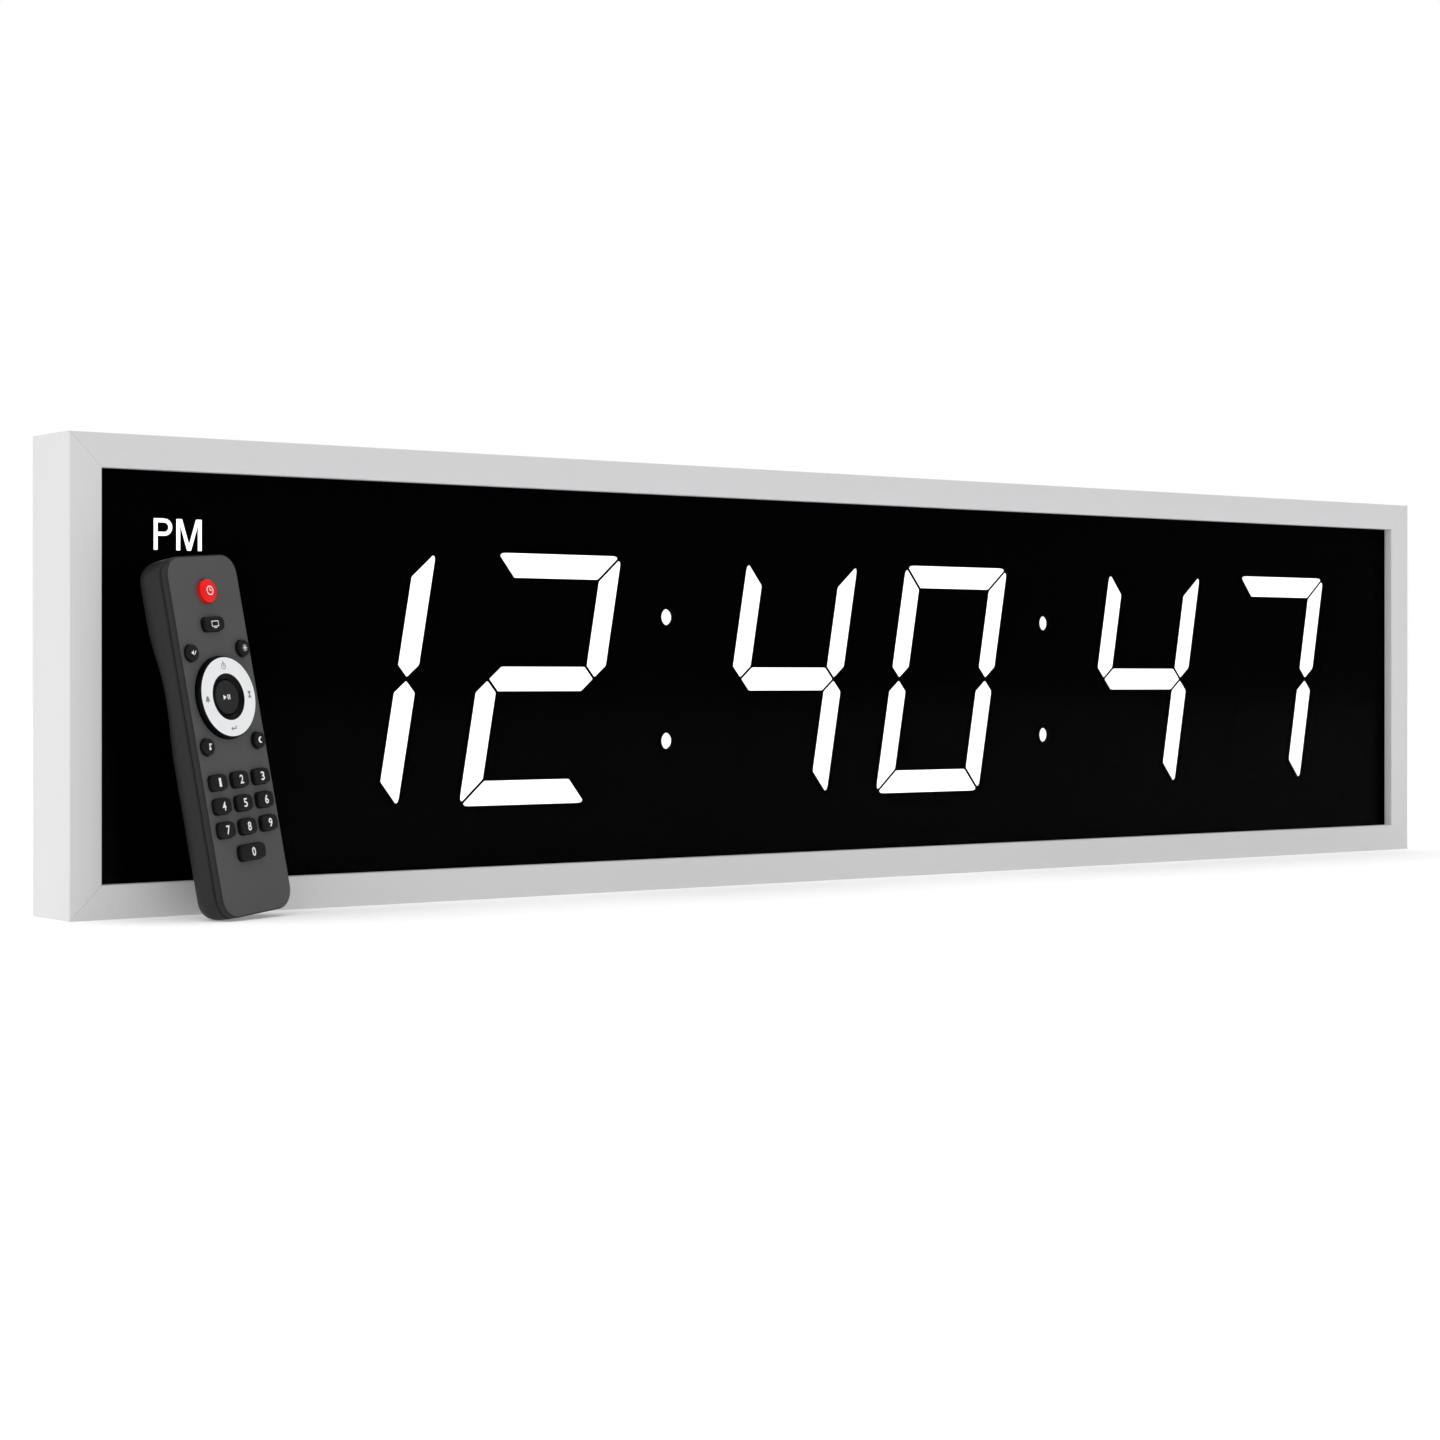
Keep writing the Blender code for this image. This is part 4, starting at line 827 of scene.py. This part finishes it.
texture = Finish("textured_grey_abs_painted_side_shade", FACE_GREY, 0.5, Specular_IOR_Level=0.25)
texture.rough(texture.noise(1300.0, 2.0), 0.38, 0.2)
mottle = texture.noise(60.0, 4.0)
face_and_painted_shade_tones = [texture.span(mottle, grey, 0.93, 1.08) for grey in (SHADED_SIDE_GREY, FACE_GREY)]
normal = texture.node("ShaderNodeTexCoord", {}, out=1)
dot = {"operation": "DOT_PRODUCT"}
painted_shade_facing = texture.node("ShaderNodeVectorMath", dot, normal, tuple(OUTWARD), out=1)
texture.vary("Base Color", texture.mix(painted_shade_facing > SHADE_PAINTED_BELOW, *face_and_painted_shade_tones))
texture.bump(texture.noise(2600.0, 3.0), 0.00006)

face_rows = [level(2 * FACE_BEVEL, 0)]
for turn in np.linspace(0, math.pi / 2, 7):
    drop = FACE_BEVEL * BEVEL_FLAT * (math.cos(turn) - 1)
    face_rows.append(level(FACE_BEVEL * (1 - math.sin(turn)), drop))
groove_top = GROOVE_TALL - FACE_DEEP
seat = SEAT_GAP - FACE_DEEP - PARTING
face_rows += [level(0, groove_top + CHAMFER), level(CHAMFER, groove_top)]
face_rows += [level(GROOVE_DEEP, groove_top), level(GROOVE_DEEP, seat)]
face_rows += [level(REMOTE_WALL, seat), level(REMOTE_WALL, -REMOTE_WALL)]
shell_points = np.concatenate(face_rows)


def cut(piece, points, faces, operation="DIFFERENCE"):
    """Works a solid, given in the remote's own frame, into a piece for good, with crisp edges."""
    helper = bpy.data.objects.new("cutter", merged("cutter", standing(points), faces))
    bpy.context.scene.collection.objects.link(helper)
    modifier = piece.modifiers.new("cut", "BOOLEAN")
    modifier.operation = operation
    modifier.solver = "EXACT"
    modifier.object = helper
    graph = bpy.context.evaluated_depsgraph_get()
    mesh = bpy.data.meshes.new_from_object(piece.evaluated_get(graph))
    piece.modifiers.clear()
    old = piece.data
    mesh.name = old.name
    piece.data = mesh
    mesh.shade_smooth()
    mesh.set_sharp_from_angle(angle=math.radians(CUT_SHARP))
    bpy.data.meshes.remove(old)
    bpy.data.objects.remove(helper)


def rounded(width, height, corner, steps=6):
    """Outline of a rectangle about 0, 0 with quarter circles for corners, going anticlockwise."""
    angle = np.linspace(0, math.pi / 2, steps)
    quarter = np.stack([corner * np.cos(angle), corner * np.sin(angle)], axis=1)
    quarter += (width / 2 - corner, height / 2 - corner)
    top = np.concatenate([quarter, quarter[::-1] * (-1, 1)])
    return np.concatenate([top, -top])


def disc(x, y, radius, sides=28):
    """Points round a circle."""
    angle = np.linspace(0, 2 * math.pi, sides, endpoint=False)
    return np.stack([x + radius * np.cos(angle), y + radius * np.sin(angle)], axis=1)


DIGIT_KEY_CORNER = 0.0022
DISPLAY_KEY_CORNER = 0.0025
ROUND_KEYS = ("key_clock", "key_mute", "key_brightness", "key_degrees", "key_am_pm")
KEYS = ROUND_KEYS + ("key_display",) + tuple(f"key_{number}" for number in range(10))


def key_shape(key):
    """Centre and outline of a key where it passes through the face, and how far it rises."""
    low, high = remote_box(key)
    width, height = (high - low)[:2] - 2 * KEY_FLANGE
    if key in ROUND_KEYS:
        outline = disc(0, 0, width / 2, 48)
    else:
        corner = DISPLAY_KEY_CORNER if key == "key_display" else DIGIT_KEY_CORNER
        outline = rounded(width, height, corner)
    return (low + high)[:2] / 2, outline, high[2]


shell_faces = skin_faces(len(face_rows), len(remote_edge(0)))
shell_place, replaced = standing(shell_points), ["remote_front_shell"]
front_shell = finished(
    "remote_face_shell", shell_place, shell_faces, texture, "remote", replaced
)
cut_low, cut_high = -2 * REMOTE_WALL, REMOTE_WALL
holes = Gathered()
for key in KEYS:
    centre, outline, rise = key_shape(key)
    grown = outline * (1 + KEY_PLAY / np.abs(outline).max(axis=0)) + centre
    walls = [np.insert(grown, 2, height, axis=1) for height in (cut_low, cut_high)]
    holes.add(np.concatenate(walls), skin_faces(2, len(grown)))
RING_ROUND = (remote_box("nav_ring")[1] - remote_box("nav_ring")[0])[0] / 2
loose = RING_ROUND + RING_PLAY
ring_hole = [(0, cut_low), (loose, cut_low), (loose, cut_high), (0, cut_high)]
points, faces = turned(ring_hole, 96)
holes.add(points + (0, RING_UP, 0), faces)
cut(front_shell, holes.all_points(), holes.faces)

# ---------------------------------------------------------------- remote: rear shell
# The grip half, in the same textured ABS: thick at both ends and hollowed at the waist,
# where the hand closes round it, and painted dark as shade. Its wall is cut away for the battery
# door and the emitter.
DOOR_WIDE = 0.0294
DOOR_TOP = -0.019
GAP = 0.0003
BACK_INSET = 0.005
BACK_POWER = 0.52
DRILL_LONG = 0.03
SPARE = 0.01


def grip_depth(along):
    """Thickness at a place along the remote: half a cosine up to the head, less a raised cosine
    at the waist."""
    climb = np.clip((along - NECK_AT) / NECK_SPAN + 0.5, 0, 1)
    place = np.clip((along - WAIST_AT) / WAIST_SPAN, -0.5, 0.5)
    head = (HEAD_THICK - REMOTE_THICK) * (1 - np.cos(math.pi * climb)) / 2
    return REMOTE_THICK + head - WAIST_DEEP * (1 + np.cos(2 * math.pi * place)) / 2


def grip_row(turn, inset=0.0, rise=0.0):
    """Outline part of the way over to the back, as a superellipse quarter: inset by the turn's
    cosine, deeper by a power of its sine."""
    edge = remote_edge(inset + BACK_INSET * (1 - math.cos(turn)))
    top = FACE_DEEP + PARTING
    depth = top + (grip_depth(edge[:, 1]) - rise - top) * math.sin(turn) ** BACK_POWER
    return np.insert(edge, 2, -depth, axis=1)


turns = np.array([0.02, 0.09, 0.2, 0.34, 0.5, 0.68, 0.86, 1.04, 1.2, 1.36, math.pi / 2])
outside = [level(CHAMFER, -FACE_DEEP - PARTING), level(0, -FACE_DEEP - PARTING - CHAMFER)]
outside += [grip_row(turn) for turn in turns]
inside = [grip_row(turn, REMOTE_WALL, REMOTE_WALL) for turn in turns[::-1]]
inside += [level(REMOTE_WALL, -FACE_DEEP - PARTING)]
grip_rows = inside + outside


def strip_faces(rows):
    """A lattice over rows of an outline, with the first and the last row closed by strips from
    each point to its mirror image."""
    count = len(rows[0])
    i = np.arange(count // 2 - 1)
    strips = np.stack([i, i + 1, count - 2 - i, count - 1 - i], axis=1)
    closed = strips.tolist() + (strips + (len(rows) - 1) * count).tolist()
    return lattice_faces(len(rows), count) + closed


grip_place, replaced = standing(np.concatenate(grip_rows)), ["remote_rear_shell"]
grip_faces = strip_faces(grip_rows)
rear_shell = finished(
    "remote_grip_shell", grip_place, grip_faces, texture, "remote", replaced
)


def block(x, y_low, y_high, z_low, z_high):
    """Two rings of corners of a box from -x to x in the remote's frame."""
    corners = [(-x, y_low), (x, y_low), (x, y_high), (-x, y_high)]
    return np.array([(cx, cy, z) for z in (z_low, z_high) for cx, cy in corners])


below = -HEAD_THICK
past = -REMOTE_LONG / 2 - SPARE
under = REMOTE_WALL - REMOTE_THICK
bay = block(DOOR_WIDE / 2 + GAP, past, DOOR_TOP + GAP, below, under + GAP)
cut(rear_shell, bay, skin_faces(2, 4))
low, high = remote_box("ir_emitter")
loose = (high[0] - low[0]) / 2 + GAP
points, faces = turned([(0, 0), (loose, 0), (loose, DRILL_LONG), (0, DRILL_LONG)], 40)
x, y, z = points.T
cut(rear_shell, np.stack([x, low[1] + z, (low[2] + high[2]) / 2 + y], axis=1), faces)

# ---------------------------------------------------------------- remote: battery door
# A panel of the same ABS that slides off the tail end. It carries on the grip's curve,
# with raised ribs where the thumb pushes.
door_rows = [level(0, -FACE_DEEP)] + [grip_row(turn) for turn in turns]
door_place, replaced = standing(np.concatenate(door_rows)), ["battery_door"]
door_faces = strip_faces(door_rows)
door = finished(
    "battery_door_panel", door_place, door_faces, texture, "battery_door", replaced
)
cut(door, block(DOOR_WIDE / 2, past, DOOR_TOP, below, under), skin_faces(2, 4), "INTERSECT")

RIB_COUNT = 6
RIB_PITCH = 0.0019
RIB_FIRST = -0.0265
RIB_LONG = 0.015
RIB_WIDE = 0.0009
RIB_PROUD = 0.0004
RIB_SUNK = 0.0003
RIB_SHORTER = 0.11
RIB_TURNS = (0.0, 0.5, 1.0, 1.4)


def rib(along, long, wide, proud):
    """A low ridge across the door: an outline shrunk by a cosine as it rises by a sine."""
    rows = []
    for turn in RIB_TURNS:
        thin = wide * math.cos(turn)
        outline = rounded(long - wide + thin, thin + 1e-5, 0.4 * thin)
        depth = grip_depth(along + outline[:, 1]) + proud * math.sin(turn)
        rows.append(np.column_stack([outline[:, 0], along + outline[:, 1], -depth]))
    rows.insert(0, rows[0] + (0, 0, RIB_SUNK))
    return np.concatenate(rows), skin_faces(len(rows), len(rows[0]))


ribs = Gathered()
for number in range(RIB_COUNT):
    long = RIB_LONG * (1 - RIB_SHORTER * number)
    ribs.add(*rib(RIB_FIRST - number * RIB_PITCH, long, RIB_WIDE, RIB_PROUD))
rib_place = standing(ribs.all_points())
finished("battery_door_ribs", rib_place, ribs.faces, texture, "battery_door")

# ---------------------------------------------------------------- remote: cells and their contacts
# Two small dry cells, head to tail, in printed sleeves. A nickel plate with two coned
# springs joins them at the tail end, and flat tabs take their current to the board.
CELL_DISH = 0.0002
CELL_EDGE = 0.0005
CELL_NIPPLE = 0.0019
CELL_NIPPLE_TALL = 0.001
CELL_RECESS = 0.62
CELL_SHOULDER = 0.0006
NIPPLE_EDGE = 0.0003
SLEEVE_SPLIT = 0.24
SLEEVE_SEAM = 0.002
WIRE_ROUND = 0.00025
COIL_TURNS = 3.5
COIL_WIDE = 0.62
COIL_TAPER = 0.24
SPRING_PLATE = 0.0004
SPRING_PLATE_CORNER = 0.0015

sleeve = Finish("printed_cell_sleeve", (0.03, 0.16, 0.2), 0.28, Coat_Weight=0.4)
band = sleeve.node("ShaderNodeAttribute", {"attribute_name": "band"}, out=2)
printed = sleeve.mix(band > 0.3, (0.6, 0.6, 0.58), (0.03, 0.16, 0.2))
sleeve.vary("Base Color", sleeve.mix(band > 0.8, printed, (0.55, 0.42, 0.1)))
sleeve.vary("Metallic", 1 - (band > 0.3))
sleeve.rough(sleeve.noise(180.0, 3.0), 0.22, 0.14)
coat(["battery_contact_left", "battery_contact_right"], nickel)

for cell, sign in (("battery_left", 1), ("battery_right", -1)):
    low, high = remote_box(cell)
    middle = (low + high) / 2
    radius = (high[0] - low[0]) / 2
    long = high[1] - low[1]
    can_end = long - CELL_NIPPLE_TALL
    below_split, above_split = can_end * SLEEVE_SPLIT, can_end * (SLEEVE_SPLIT + SLEEVE_SEAM)
    shape = np.concatenate(
        [
            [(0, CELL_DISH), (radius * CELL_RECESS, CELL_DISH), (radius * 0.66, 0)],
            edge_round(radius, CELL_EDGE, CELL_EDGE)[::-1] * (1, -1) + (0, CELL_EDGE),
            [(radius, CELL_SHOULDER), (radius, below_split), (radius, above_split)],
            [(radius, can_end * 0.96)],
            edge_round(radius, can_end, CELL_SHOULDER),
            [(radius * 0.6, can_end - CELL_DISH), (CELL_NIPPLE, can_end - CELL_DISH / 2)],
            edge_round(CELL_NIPPLE, long, NIPPLE_EDGE),
            [(0, long)],
        ]
    )
    points, faces = turned(shape, 40)
    x, y, height = points.T
    split = (below_split + above_split) / 2
    zones = [height < CELL_EDGE, height < split, height <= can_end - NIPPLE_EDGE]
    marks = ("band", np.select(zones, [0.0, 1.0, 0.5], 0.0))
    lying = [middle[0] + x, middle[1] + sign * (height - long / 2), middle[2] - sign * y]
    place = standing(np.stack(lying, axis=1))
    finished(cell + "_cell", place, faces, sleeve, "remote", [cell], marks=marks)


def wire(path, radius, sides=8):
    """Round wire along a path: each of its points plus radius * (cos, sin) of two directions
    square to the path, the first of them square to the remote's length too."""
    tangent = np.gradient(path, axis=0)
    tangent /= np.linalg.norm(tangent, axis=1, keepdims=True)
    flat = np.cross(tangent, (0.0, 1.0, 0.0))
    flat /= np.linalg.norm(flat, axis=1, keepdims=True)
    other = np.cross(tangent, flat)
    angle = np.linspace(0, 2 * math.pi, sides, endpoint=False)[None, :, None]
    spoke = np.cos(angle) * flat[:, None] + np.sin(angle) * other[:, None]
    return (path[:, None] + radius * spoke).reshape(-1, 3), skin_faces(len(path), sides)


low, high = remote_box("battery_bridge_spring")
middle = (low + high) / 2
bridge = Gathered()
outline = rounded(high[0] - low[0], high[2] - low[2], SPRING_PLATE_CORNER) + middle[[0, 2]]
sheet = [np.insert(outline, 1, y, axis=1) for y in (low[1], low[1] + SPRING_PLATE)]
bridge.add(np.concatenate(sheet), skin_faces(2, len(outline)))
step = np.linspace(0, 1, 130)
spin = step * COIL_TURNS * 2 * math.pi
coil_foot = low[1] + SPRING_PLATE + WIRE_ROUND
climb = coil_foot + (high[1] - WIRE_ROUND - coil_foot) * step
for cell in ("battery_left", "battery_right"):
    cell_low, cell_high = remote_box(cell)
    reach = (cell_high[0] - cell_low[0]) / 2 * (COIL_WIDE - COIL_TAPER * step)
    x = (cell_low[0] + cell_high[0]) / 2 + reach * np.cos(spin)
    path = np.stack([x, climb, middle[2] + reach * np.sin(spin)], axis=1)
    bridge.add(*wire(path, WIRE_ROUND))
place, replaced = standing(bridge.all_points()), ["battery_bridge_spring"]
finished("battery_bridge_coils", place, bridge.faces, nickel, "remote", replaced)

# ---------------------------------------------------------------- remote: keypad mat
# A sheet of grey silicone rubber, moulded in one piece, that lies between the keys and the
# board. Its domes close the board's contacts.
rubber = Finish("grey_silicone", (0.17, 0.17, 0.175), 0.78)
rubber.shade(rubber.noise(120.0, 3.0), 0.9, 1.1)
rubber.bump(rubber.noise(900.0), 0.00004)
coat(["keypad_mat"], rubber)

# ---------------------------------------------------------------- remote: keys
# Moulded caps with softened rims and slightly domed tops, black but for a red one. Each is
# kept in its hole by a flange, and its white legend is pad-printed.
RIM_ROUND = 0.0006
DOME = 0.00012
CLOCK_DOME = 0.0006
INK_PROUD = 0.00003
INK_DEEP = 0.00025
INK_WHITE = (0.97, 0.97, 0.97)
RIM_TURN = 1.35
CROWN_SHARES = (0.97, 0.85, 0.65, 0.45, 0.25, 0.0)

key_black = Finish("satin_black_keys", (0.006, 0.006, 0.0064), 0.42, Specular_IOR_Level=0.16)
key_black.rough(key_black.noise(900.0), 0.34, 0.16)
key_black.shade(key_black.noise(260.0, 3.0), 0.85, 1.2)
key_black.bump(key_black.noise(2200.0), 0.00002)

key_red = Finish("satin_red_key", (0.93, 0.007, 0.006), 0.38, Specular_IOR_Level=0.25)
key_red.rough(key_red.noise(900.0, 2.0), 0.32, 0.14)
key_red.shade(key_red.noise(260.0, 3.0), 0.93, 1.05)

ink = Finish("white_legend_ink", INK_WHITE, 0.5)
ink.shade(ink.noise(1500.0, 2.0), 0.93, 1.03)


def cap_rows(outline, flange_low, flange_top, rise, dome):
    """Rows of a key up from its flange: straight wall, quarter-round rim, then a parabola to the
    middle of its top."""
    half = np.abs(outline).max(axis=0)
    rows = [(-KEY_FLANGE, flange_low), (-KEY_FLANGE, flange_top), (0, flange_top)]
    for turn in np.linspace(0, RIM_TURN, 6):
        drop = dome + RIM_ROUND * (1 - math.sin(turn))
        rows.append((RIM_ROUND * (1 - math.cos(turn)), rise - drop))
    points = [np.insert(outline * (1 - inset / half), 2, height, axis=1) for inset, height in rows]
    for share in CROWN_SHARES:
        crowned = outline * (1 - RIM_ROUND / half) * share
        points.append(np.insert(crowned, 2, rise - dome * share**2, axis=1))
    return points


key_low = remote_box("key_5")[0][2]
key_tops = {}
for key in KEYS:
    centre, outline, rise = key_shape(key)
    dome = CLOCK_DOME if key == "key_clock" else DOME
    rows = cap_rows(outline, key_low, -REMOTE_WALL - GAP, rise, dome)
    place = standing(np.concatenate(rows) + (*centre, 0))
    finish, slot = (key_red, "key_red") if key == "key_clock" else (key_black, "key_black")
    finished(key + "_cap", place, skin_faces(len(rows), len(outline)), finish, key, [key])
    key_tops[key] = (centre, rise)


def lettering(text, bold):
    """Points and faces of plain figures, 0 to 1 wide and high, at height -1 or 1: back or front."""
    curve = bpy.data.curves.new(text, "FONT")
    curve.body = text
    curve.extrude = 1.0
    curve.offset = bold
    curve.resolution_u = 6
    holder = bpy.data.objects.new(text, curve)
    mesh = bpy.data.meshes.new_from_object(holder)
    bpy.data.objects.remove(holder)
    points = np.empty(len(mesh.vertices) * 3)
    mesh.vertices.foreach_get("co", points)
    points = points.reshape(-1, 3)
    faces = [list(face.vertices) for face in mesh.polygons]
    bpy.data.meshes.remove(mesh)
    flat = points[:, :2]
    points[:, :2] = (flat - flat.min(axis=0)) / np.ptp(flat, axis=0)
    points[:, 2] = np.sign(points[:, 2])
    return points, faces


def legend(name, shapes, centre, top, body, finish):
    """Prints shapes, points at height -1 or 1 and faces, a hair above a surface at height top."""
    print_run = Gathered()
    for points, faces in shapes:
        x, y, side = points.T
        lift = np.where(side > 0, INK_PROUD, -INK_DEEP)
        print_run.add(np.stack([centre[0] + x, centre[1] + y, top + lift], axis=1), faces)
    finished(name, standing(print_run.all_points()), print_run.faces, finish, body)


FIGURE_TALL = 0.0040
FIGURE_WIDE = 0.0024
FIGURE_BOLD = 0.016
ONE_NARROWER = 0.62

for number in range(10):
    points, faces = lettering(str(number), FIGURE_BOLD)
    width = FIGURE_WIDE * (ONE_NARROWER if number == 1 else 1.0)
    points = (points - (0.5, 0.5, 0)) * (width, FIGURE_TALL, 1)
    key = f"key_{number}"
    legend(f"figure_{number}", [(points, faces)], *key_tops[key], key, ink)

# ---------------------------------------------------------------- remote: signs on the keys
# Small pad-printed signs say what the other keys do: a clock, a screen, a loudspeaker
# with a stroke, a sun, a thermometer and a half moon.
SIGN = 0.0019


def sign_band(outer, inner):
    """A flat band between two outlines of equal length: a closed loop of four rows."""
    loop = ((outer, -1.0), (outer, 1.0), (inner, 1.0), (inner, -1.0), (outer, -1.0))
    rows = [np.insert(np.asarray(ring, float), 2, side, axis=1) for ring, side in loop]
    return np.concatenate(rows), lattice_faces(5, len(outer))


def stroke(start, end, wide):
    """Corners of a bar from start to end."""
    start, end = np.array(start, float), np.array(end, float)
    along = (end - start) / np.linalg.norm(end - start)
    aside = np.array([-along[1], along[0]]) * wide / 2
    return np.array([start - aside, end - aside, end + aside, start + aside])


def dial(x, y, radius, line):
    """A clock face: its rim and two hands."""
    rim = sign_band(disc(x, y, radius), disc(x, y, radius - line))
    half, short, long = line / 2, radius * 0.5, radius * 0.62
    hands = [(-half, -half), (short, -half), (short, half)]
    hands += [(half, half), (half, long), (-half, long)]
    return [rim, sign_plate(np.array(hands) + (x, y))]


rays = [sign_plate(stroke(tip * 0.62, tip, 0.2)) for tip in disc(0, 0, 1.0, 8)]
moon = np.concatenate([disc(0, 0, 0.9, 48)[6:43], disc(0.42, 0, 0.66, 48)[39:8:-1]])
speaker = [(-0.9, -0.3), (-0.5, -0.3), (0.0, -0.75), (0.0, 0.75), (-0.5, 0.3), (-0.9, 0.3)]
bulb = disc(0, -0.55, 0.42, 24)
tube = np.concatenate([bulb[7:], bulb[:5], disc(0, 0.72, 0.2, 12)[:7]])
degree_ring = sign_band(disc(0.6, 0.65, 0.3), disc(0.6, 0.65, 0.13))
screen = sign_band(rounded(2.6, 1.5, 0.2), rounded(2.2, 1.1, 0.08))
SIGNS = {
    "key_clock": (1.15, dial(0, 0, 1.0, 0.2)),
    "key_display": (0.95, [screen, sign_plate(stroke((-0.55, -1.0), (0.55, -1.0), 0.2))]),
    "key_mute": (0.85, [sign_plate(speaker), sign_plate(stroke((0.25, -0.5), (0.95, 0.5), 0.24))]),
    "key_brightness": (0.85, [sign_plate(disc(0, 0, 0.42))] + rays),
    "key_degrees": (0.85, [sign_plate(tube), degree_ring]),
    "key_am_pm": (0.85, [sign_plate(moon)]),
}
for key, (size, shapes) in SIGNS.items():
    scaled = [(points * (SIGN * size, SIGN * size, 1), faces) for points, faces in shapes]
    legend(key[4:] + "_sign", scaled, *key_tops[key], key, ink)

# ---------------------------------------------------------------- remote: ring
# A rocking ring that works four switches: a black moulding with a bright silver-white
# face, printed in grey with a stopwatch, a bell, an hourglass and an enter arrow.
RING_FACE_IN = 0.0107
RING_EDGE = 0.0006
RING_SLOPE = 0.0012
RING_HOLE = 0.0081
SPLIT_ROW = 0.00003
FOOT_EDGE = 0.0003
HOLE_EDGE = 0.0002
RING_SIDES = 128

low, high = remote_box("nav_ring")
ring_foot, ring_top = low[2], high[2]
ring_face = Finish("silver_white_ring", (0.9, 0.92, 0.93), 0.34, Specular_IOR_Level=0.1)
painted = ring_face.node("ShaderNodeAttribute", {"attribute_name": "painted"}, out=2)
ring_face.vary("Base Color", ring_face.mix(painted, (0.001, 0.001, 0.0012), (0.95, 0.96, 0.97)))
ring_face.rough(ring_face.noise(700.0, 2.0), 0.3, 0.12)
ring_face.bump(ring_face.noise(1800.0), 0.00001)
outer_face = RING_ROUND - RING_EDGE
profile = [
    (RING_HOLE, ring_foot, 0),
    (RING_ROUND - FOOT_EDGE, ring_foot, 0),
    (RING_ROUND, ring_foot + FOOT_EDGE, 0),
    (RING_ROUND, ring_top - RING_EDGE, 0),
    (RING_ROUND - RING_EDGE * 0.3, ring_top - RING_EDGE * 0.3, 0),
    (outer_face + SPLIT_ROW, ring_top - SPLIT_ROW, 0),
    (outer_face, ring_top, 1),
    (RING_FACE_IN, ring_top, 1),
    (RING_FACE_IN - SPLIT_ROW, ring_top - SPLIT_ROW, 0),
    (RING_HOLE + FOOT_EDGE, ring_top - RING_SLOPE + HOLE_EDGE, 0),
    (RING_HOLE, ring_top - RING_SLOPE - HOLE_EDGE, 0),
    (RING_HOLE, ring_foot, 0),
]
points, faces = turned([row[:2] for row in profile], RING_SIDES)
marks = ("painted", np.repeat([float(row[2]) for row in profile], RING_SIDES))
ring_place = standing(points + (0, RING_UP, 0))
body = "nav_ring"
finished("rocking_ring", ring_place, faces, ring_face, body, [body], marks=marks)

grey_ink = Finish("grey_legend_ink", (0.2, 0.21, 0.22), 0.5)
grey_ink.shade(grey_ink.noise(1500.0, 2.0), 0.9, 1.1)
bell_side = [(0.75, -0.55), (0.75, -0.4), (0.52, -0.15), (0.45, 0.35), (0.2, 0.65)]
bell = [(-0.75, -0.55)] + bell_side + [(-x, y) for x, y in bell_side[:0:-1]]
glass = [(-0.6, -0.8), (0.6, -0.8), (0.12, 0), (0.6, 0.8), (-0.6, 0.8), (-0.12, 0)]
arrow = [(-1.0, -0.1), (-0.35, -0.6), (-0.35, -0.24), (0.9, -0.24), (0.9, 0.6)]
arrow += [(0.62, 0.6), (0.62, 0.04), (-0.35, 0.04), (-0.35, 0.4)]
crown = sign_plate(stroke((0, 0.62), (0, 1.0), 0.3))
RING_SIGNS = {
    "stopwatch_sign": ((0, 1), dial(0, -0.2, 0.78, 0.18) + [crown]),
    "bell_sign": ((-1, 0), [sign_plate(bell), sign_plate(disc(0, -0.78, 0.16, 16))]),
    "hourglass_sign": ((1, 0), [sign_plate(glass)]),
    "enter_sign": ((0, -1), [sign_plate(arrow)]),
}
sign_reach = (RING_FACE_IN + outer_face) / 2
for name, (way, shapes) in RING_SIGNS.items():
    scaled = [(points * (SIGN, SIGN, 1), faces) for points, faces in shapes]
    centre = np.array(way) * sign_reach + (0, RING_UP)
    legend(name, scaled, centre, ring_top, "nav_ring", grey_ink)

# ---------------------------------------------------------------- remote: centre key
# A round black key in the middle of the ring, slightly dished for the fingertip,
# with a play and pause sign.
DISH = 0.0003
DISH_REACH = 0.9
CENTRE_EDGE = 0.0005
CENTRE_TURN = 1.4
SIGN_DEEP = 0.00024
PLAY_SIGN = 0.0016

low, high = remote_box("key_start_stop")
centre_round = (high[0] - low[0]) / 2
rise = high[2]
angle = np.linspace(0, CENTRE_TURN, 6)
rim = np.stack([np.cos(angle), np.sin(angle)], axis=1) * CENTRE_EDGE
rim += (centre_round - CENTRE_EDGE, rise - CENTRE_EDGE)
share = np.linspace(DISH_REACH, 0, 9)
sunk = DISH * (1 - (share / DISH_REACH) ** 2)
dish = np.stack([centre_round * share, rise - sunk], axis=1)
profile = np.concatenate([[(0, low[2]), (centre_round, low[2])], rim, dish])
points, faces = turned(profile, 72)
centre_black = Finish("satin_black_centre", (0.017, 0.017, 0.018), 0.42, Specular_IOR_Level=0.16)
centre_black.rough(centre_black.noise(900.0, 2.0), 0.36, 0.16)
centre_black.shade(centre_black.noise(260.0, 3.0), 0.88, 1.15)
place, body = standing(points + (0, RING_UP, 0)), "key_start_stop"
finished("centre_key", place, faces, centre_black, body, [body])

play = [(-1.5, -0.75), (-0.2, 0), (-1.5, 0.75)]
pause = [sign_plate(stroke((x, -0.7), (x, 0.7), 0.36)) for x in (0.45, 1.15)]
shapes = [sign_plate(play)] + pause
scaled = [(points * (PLAY_SIGN, PLAY_SIGN, 1), faces) for points, faces in shapes]
legend("play_pause_sign", scaled, (0.0, RING_UP), rise - SIGN_DEEP, body, ink)
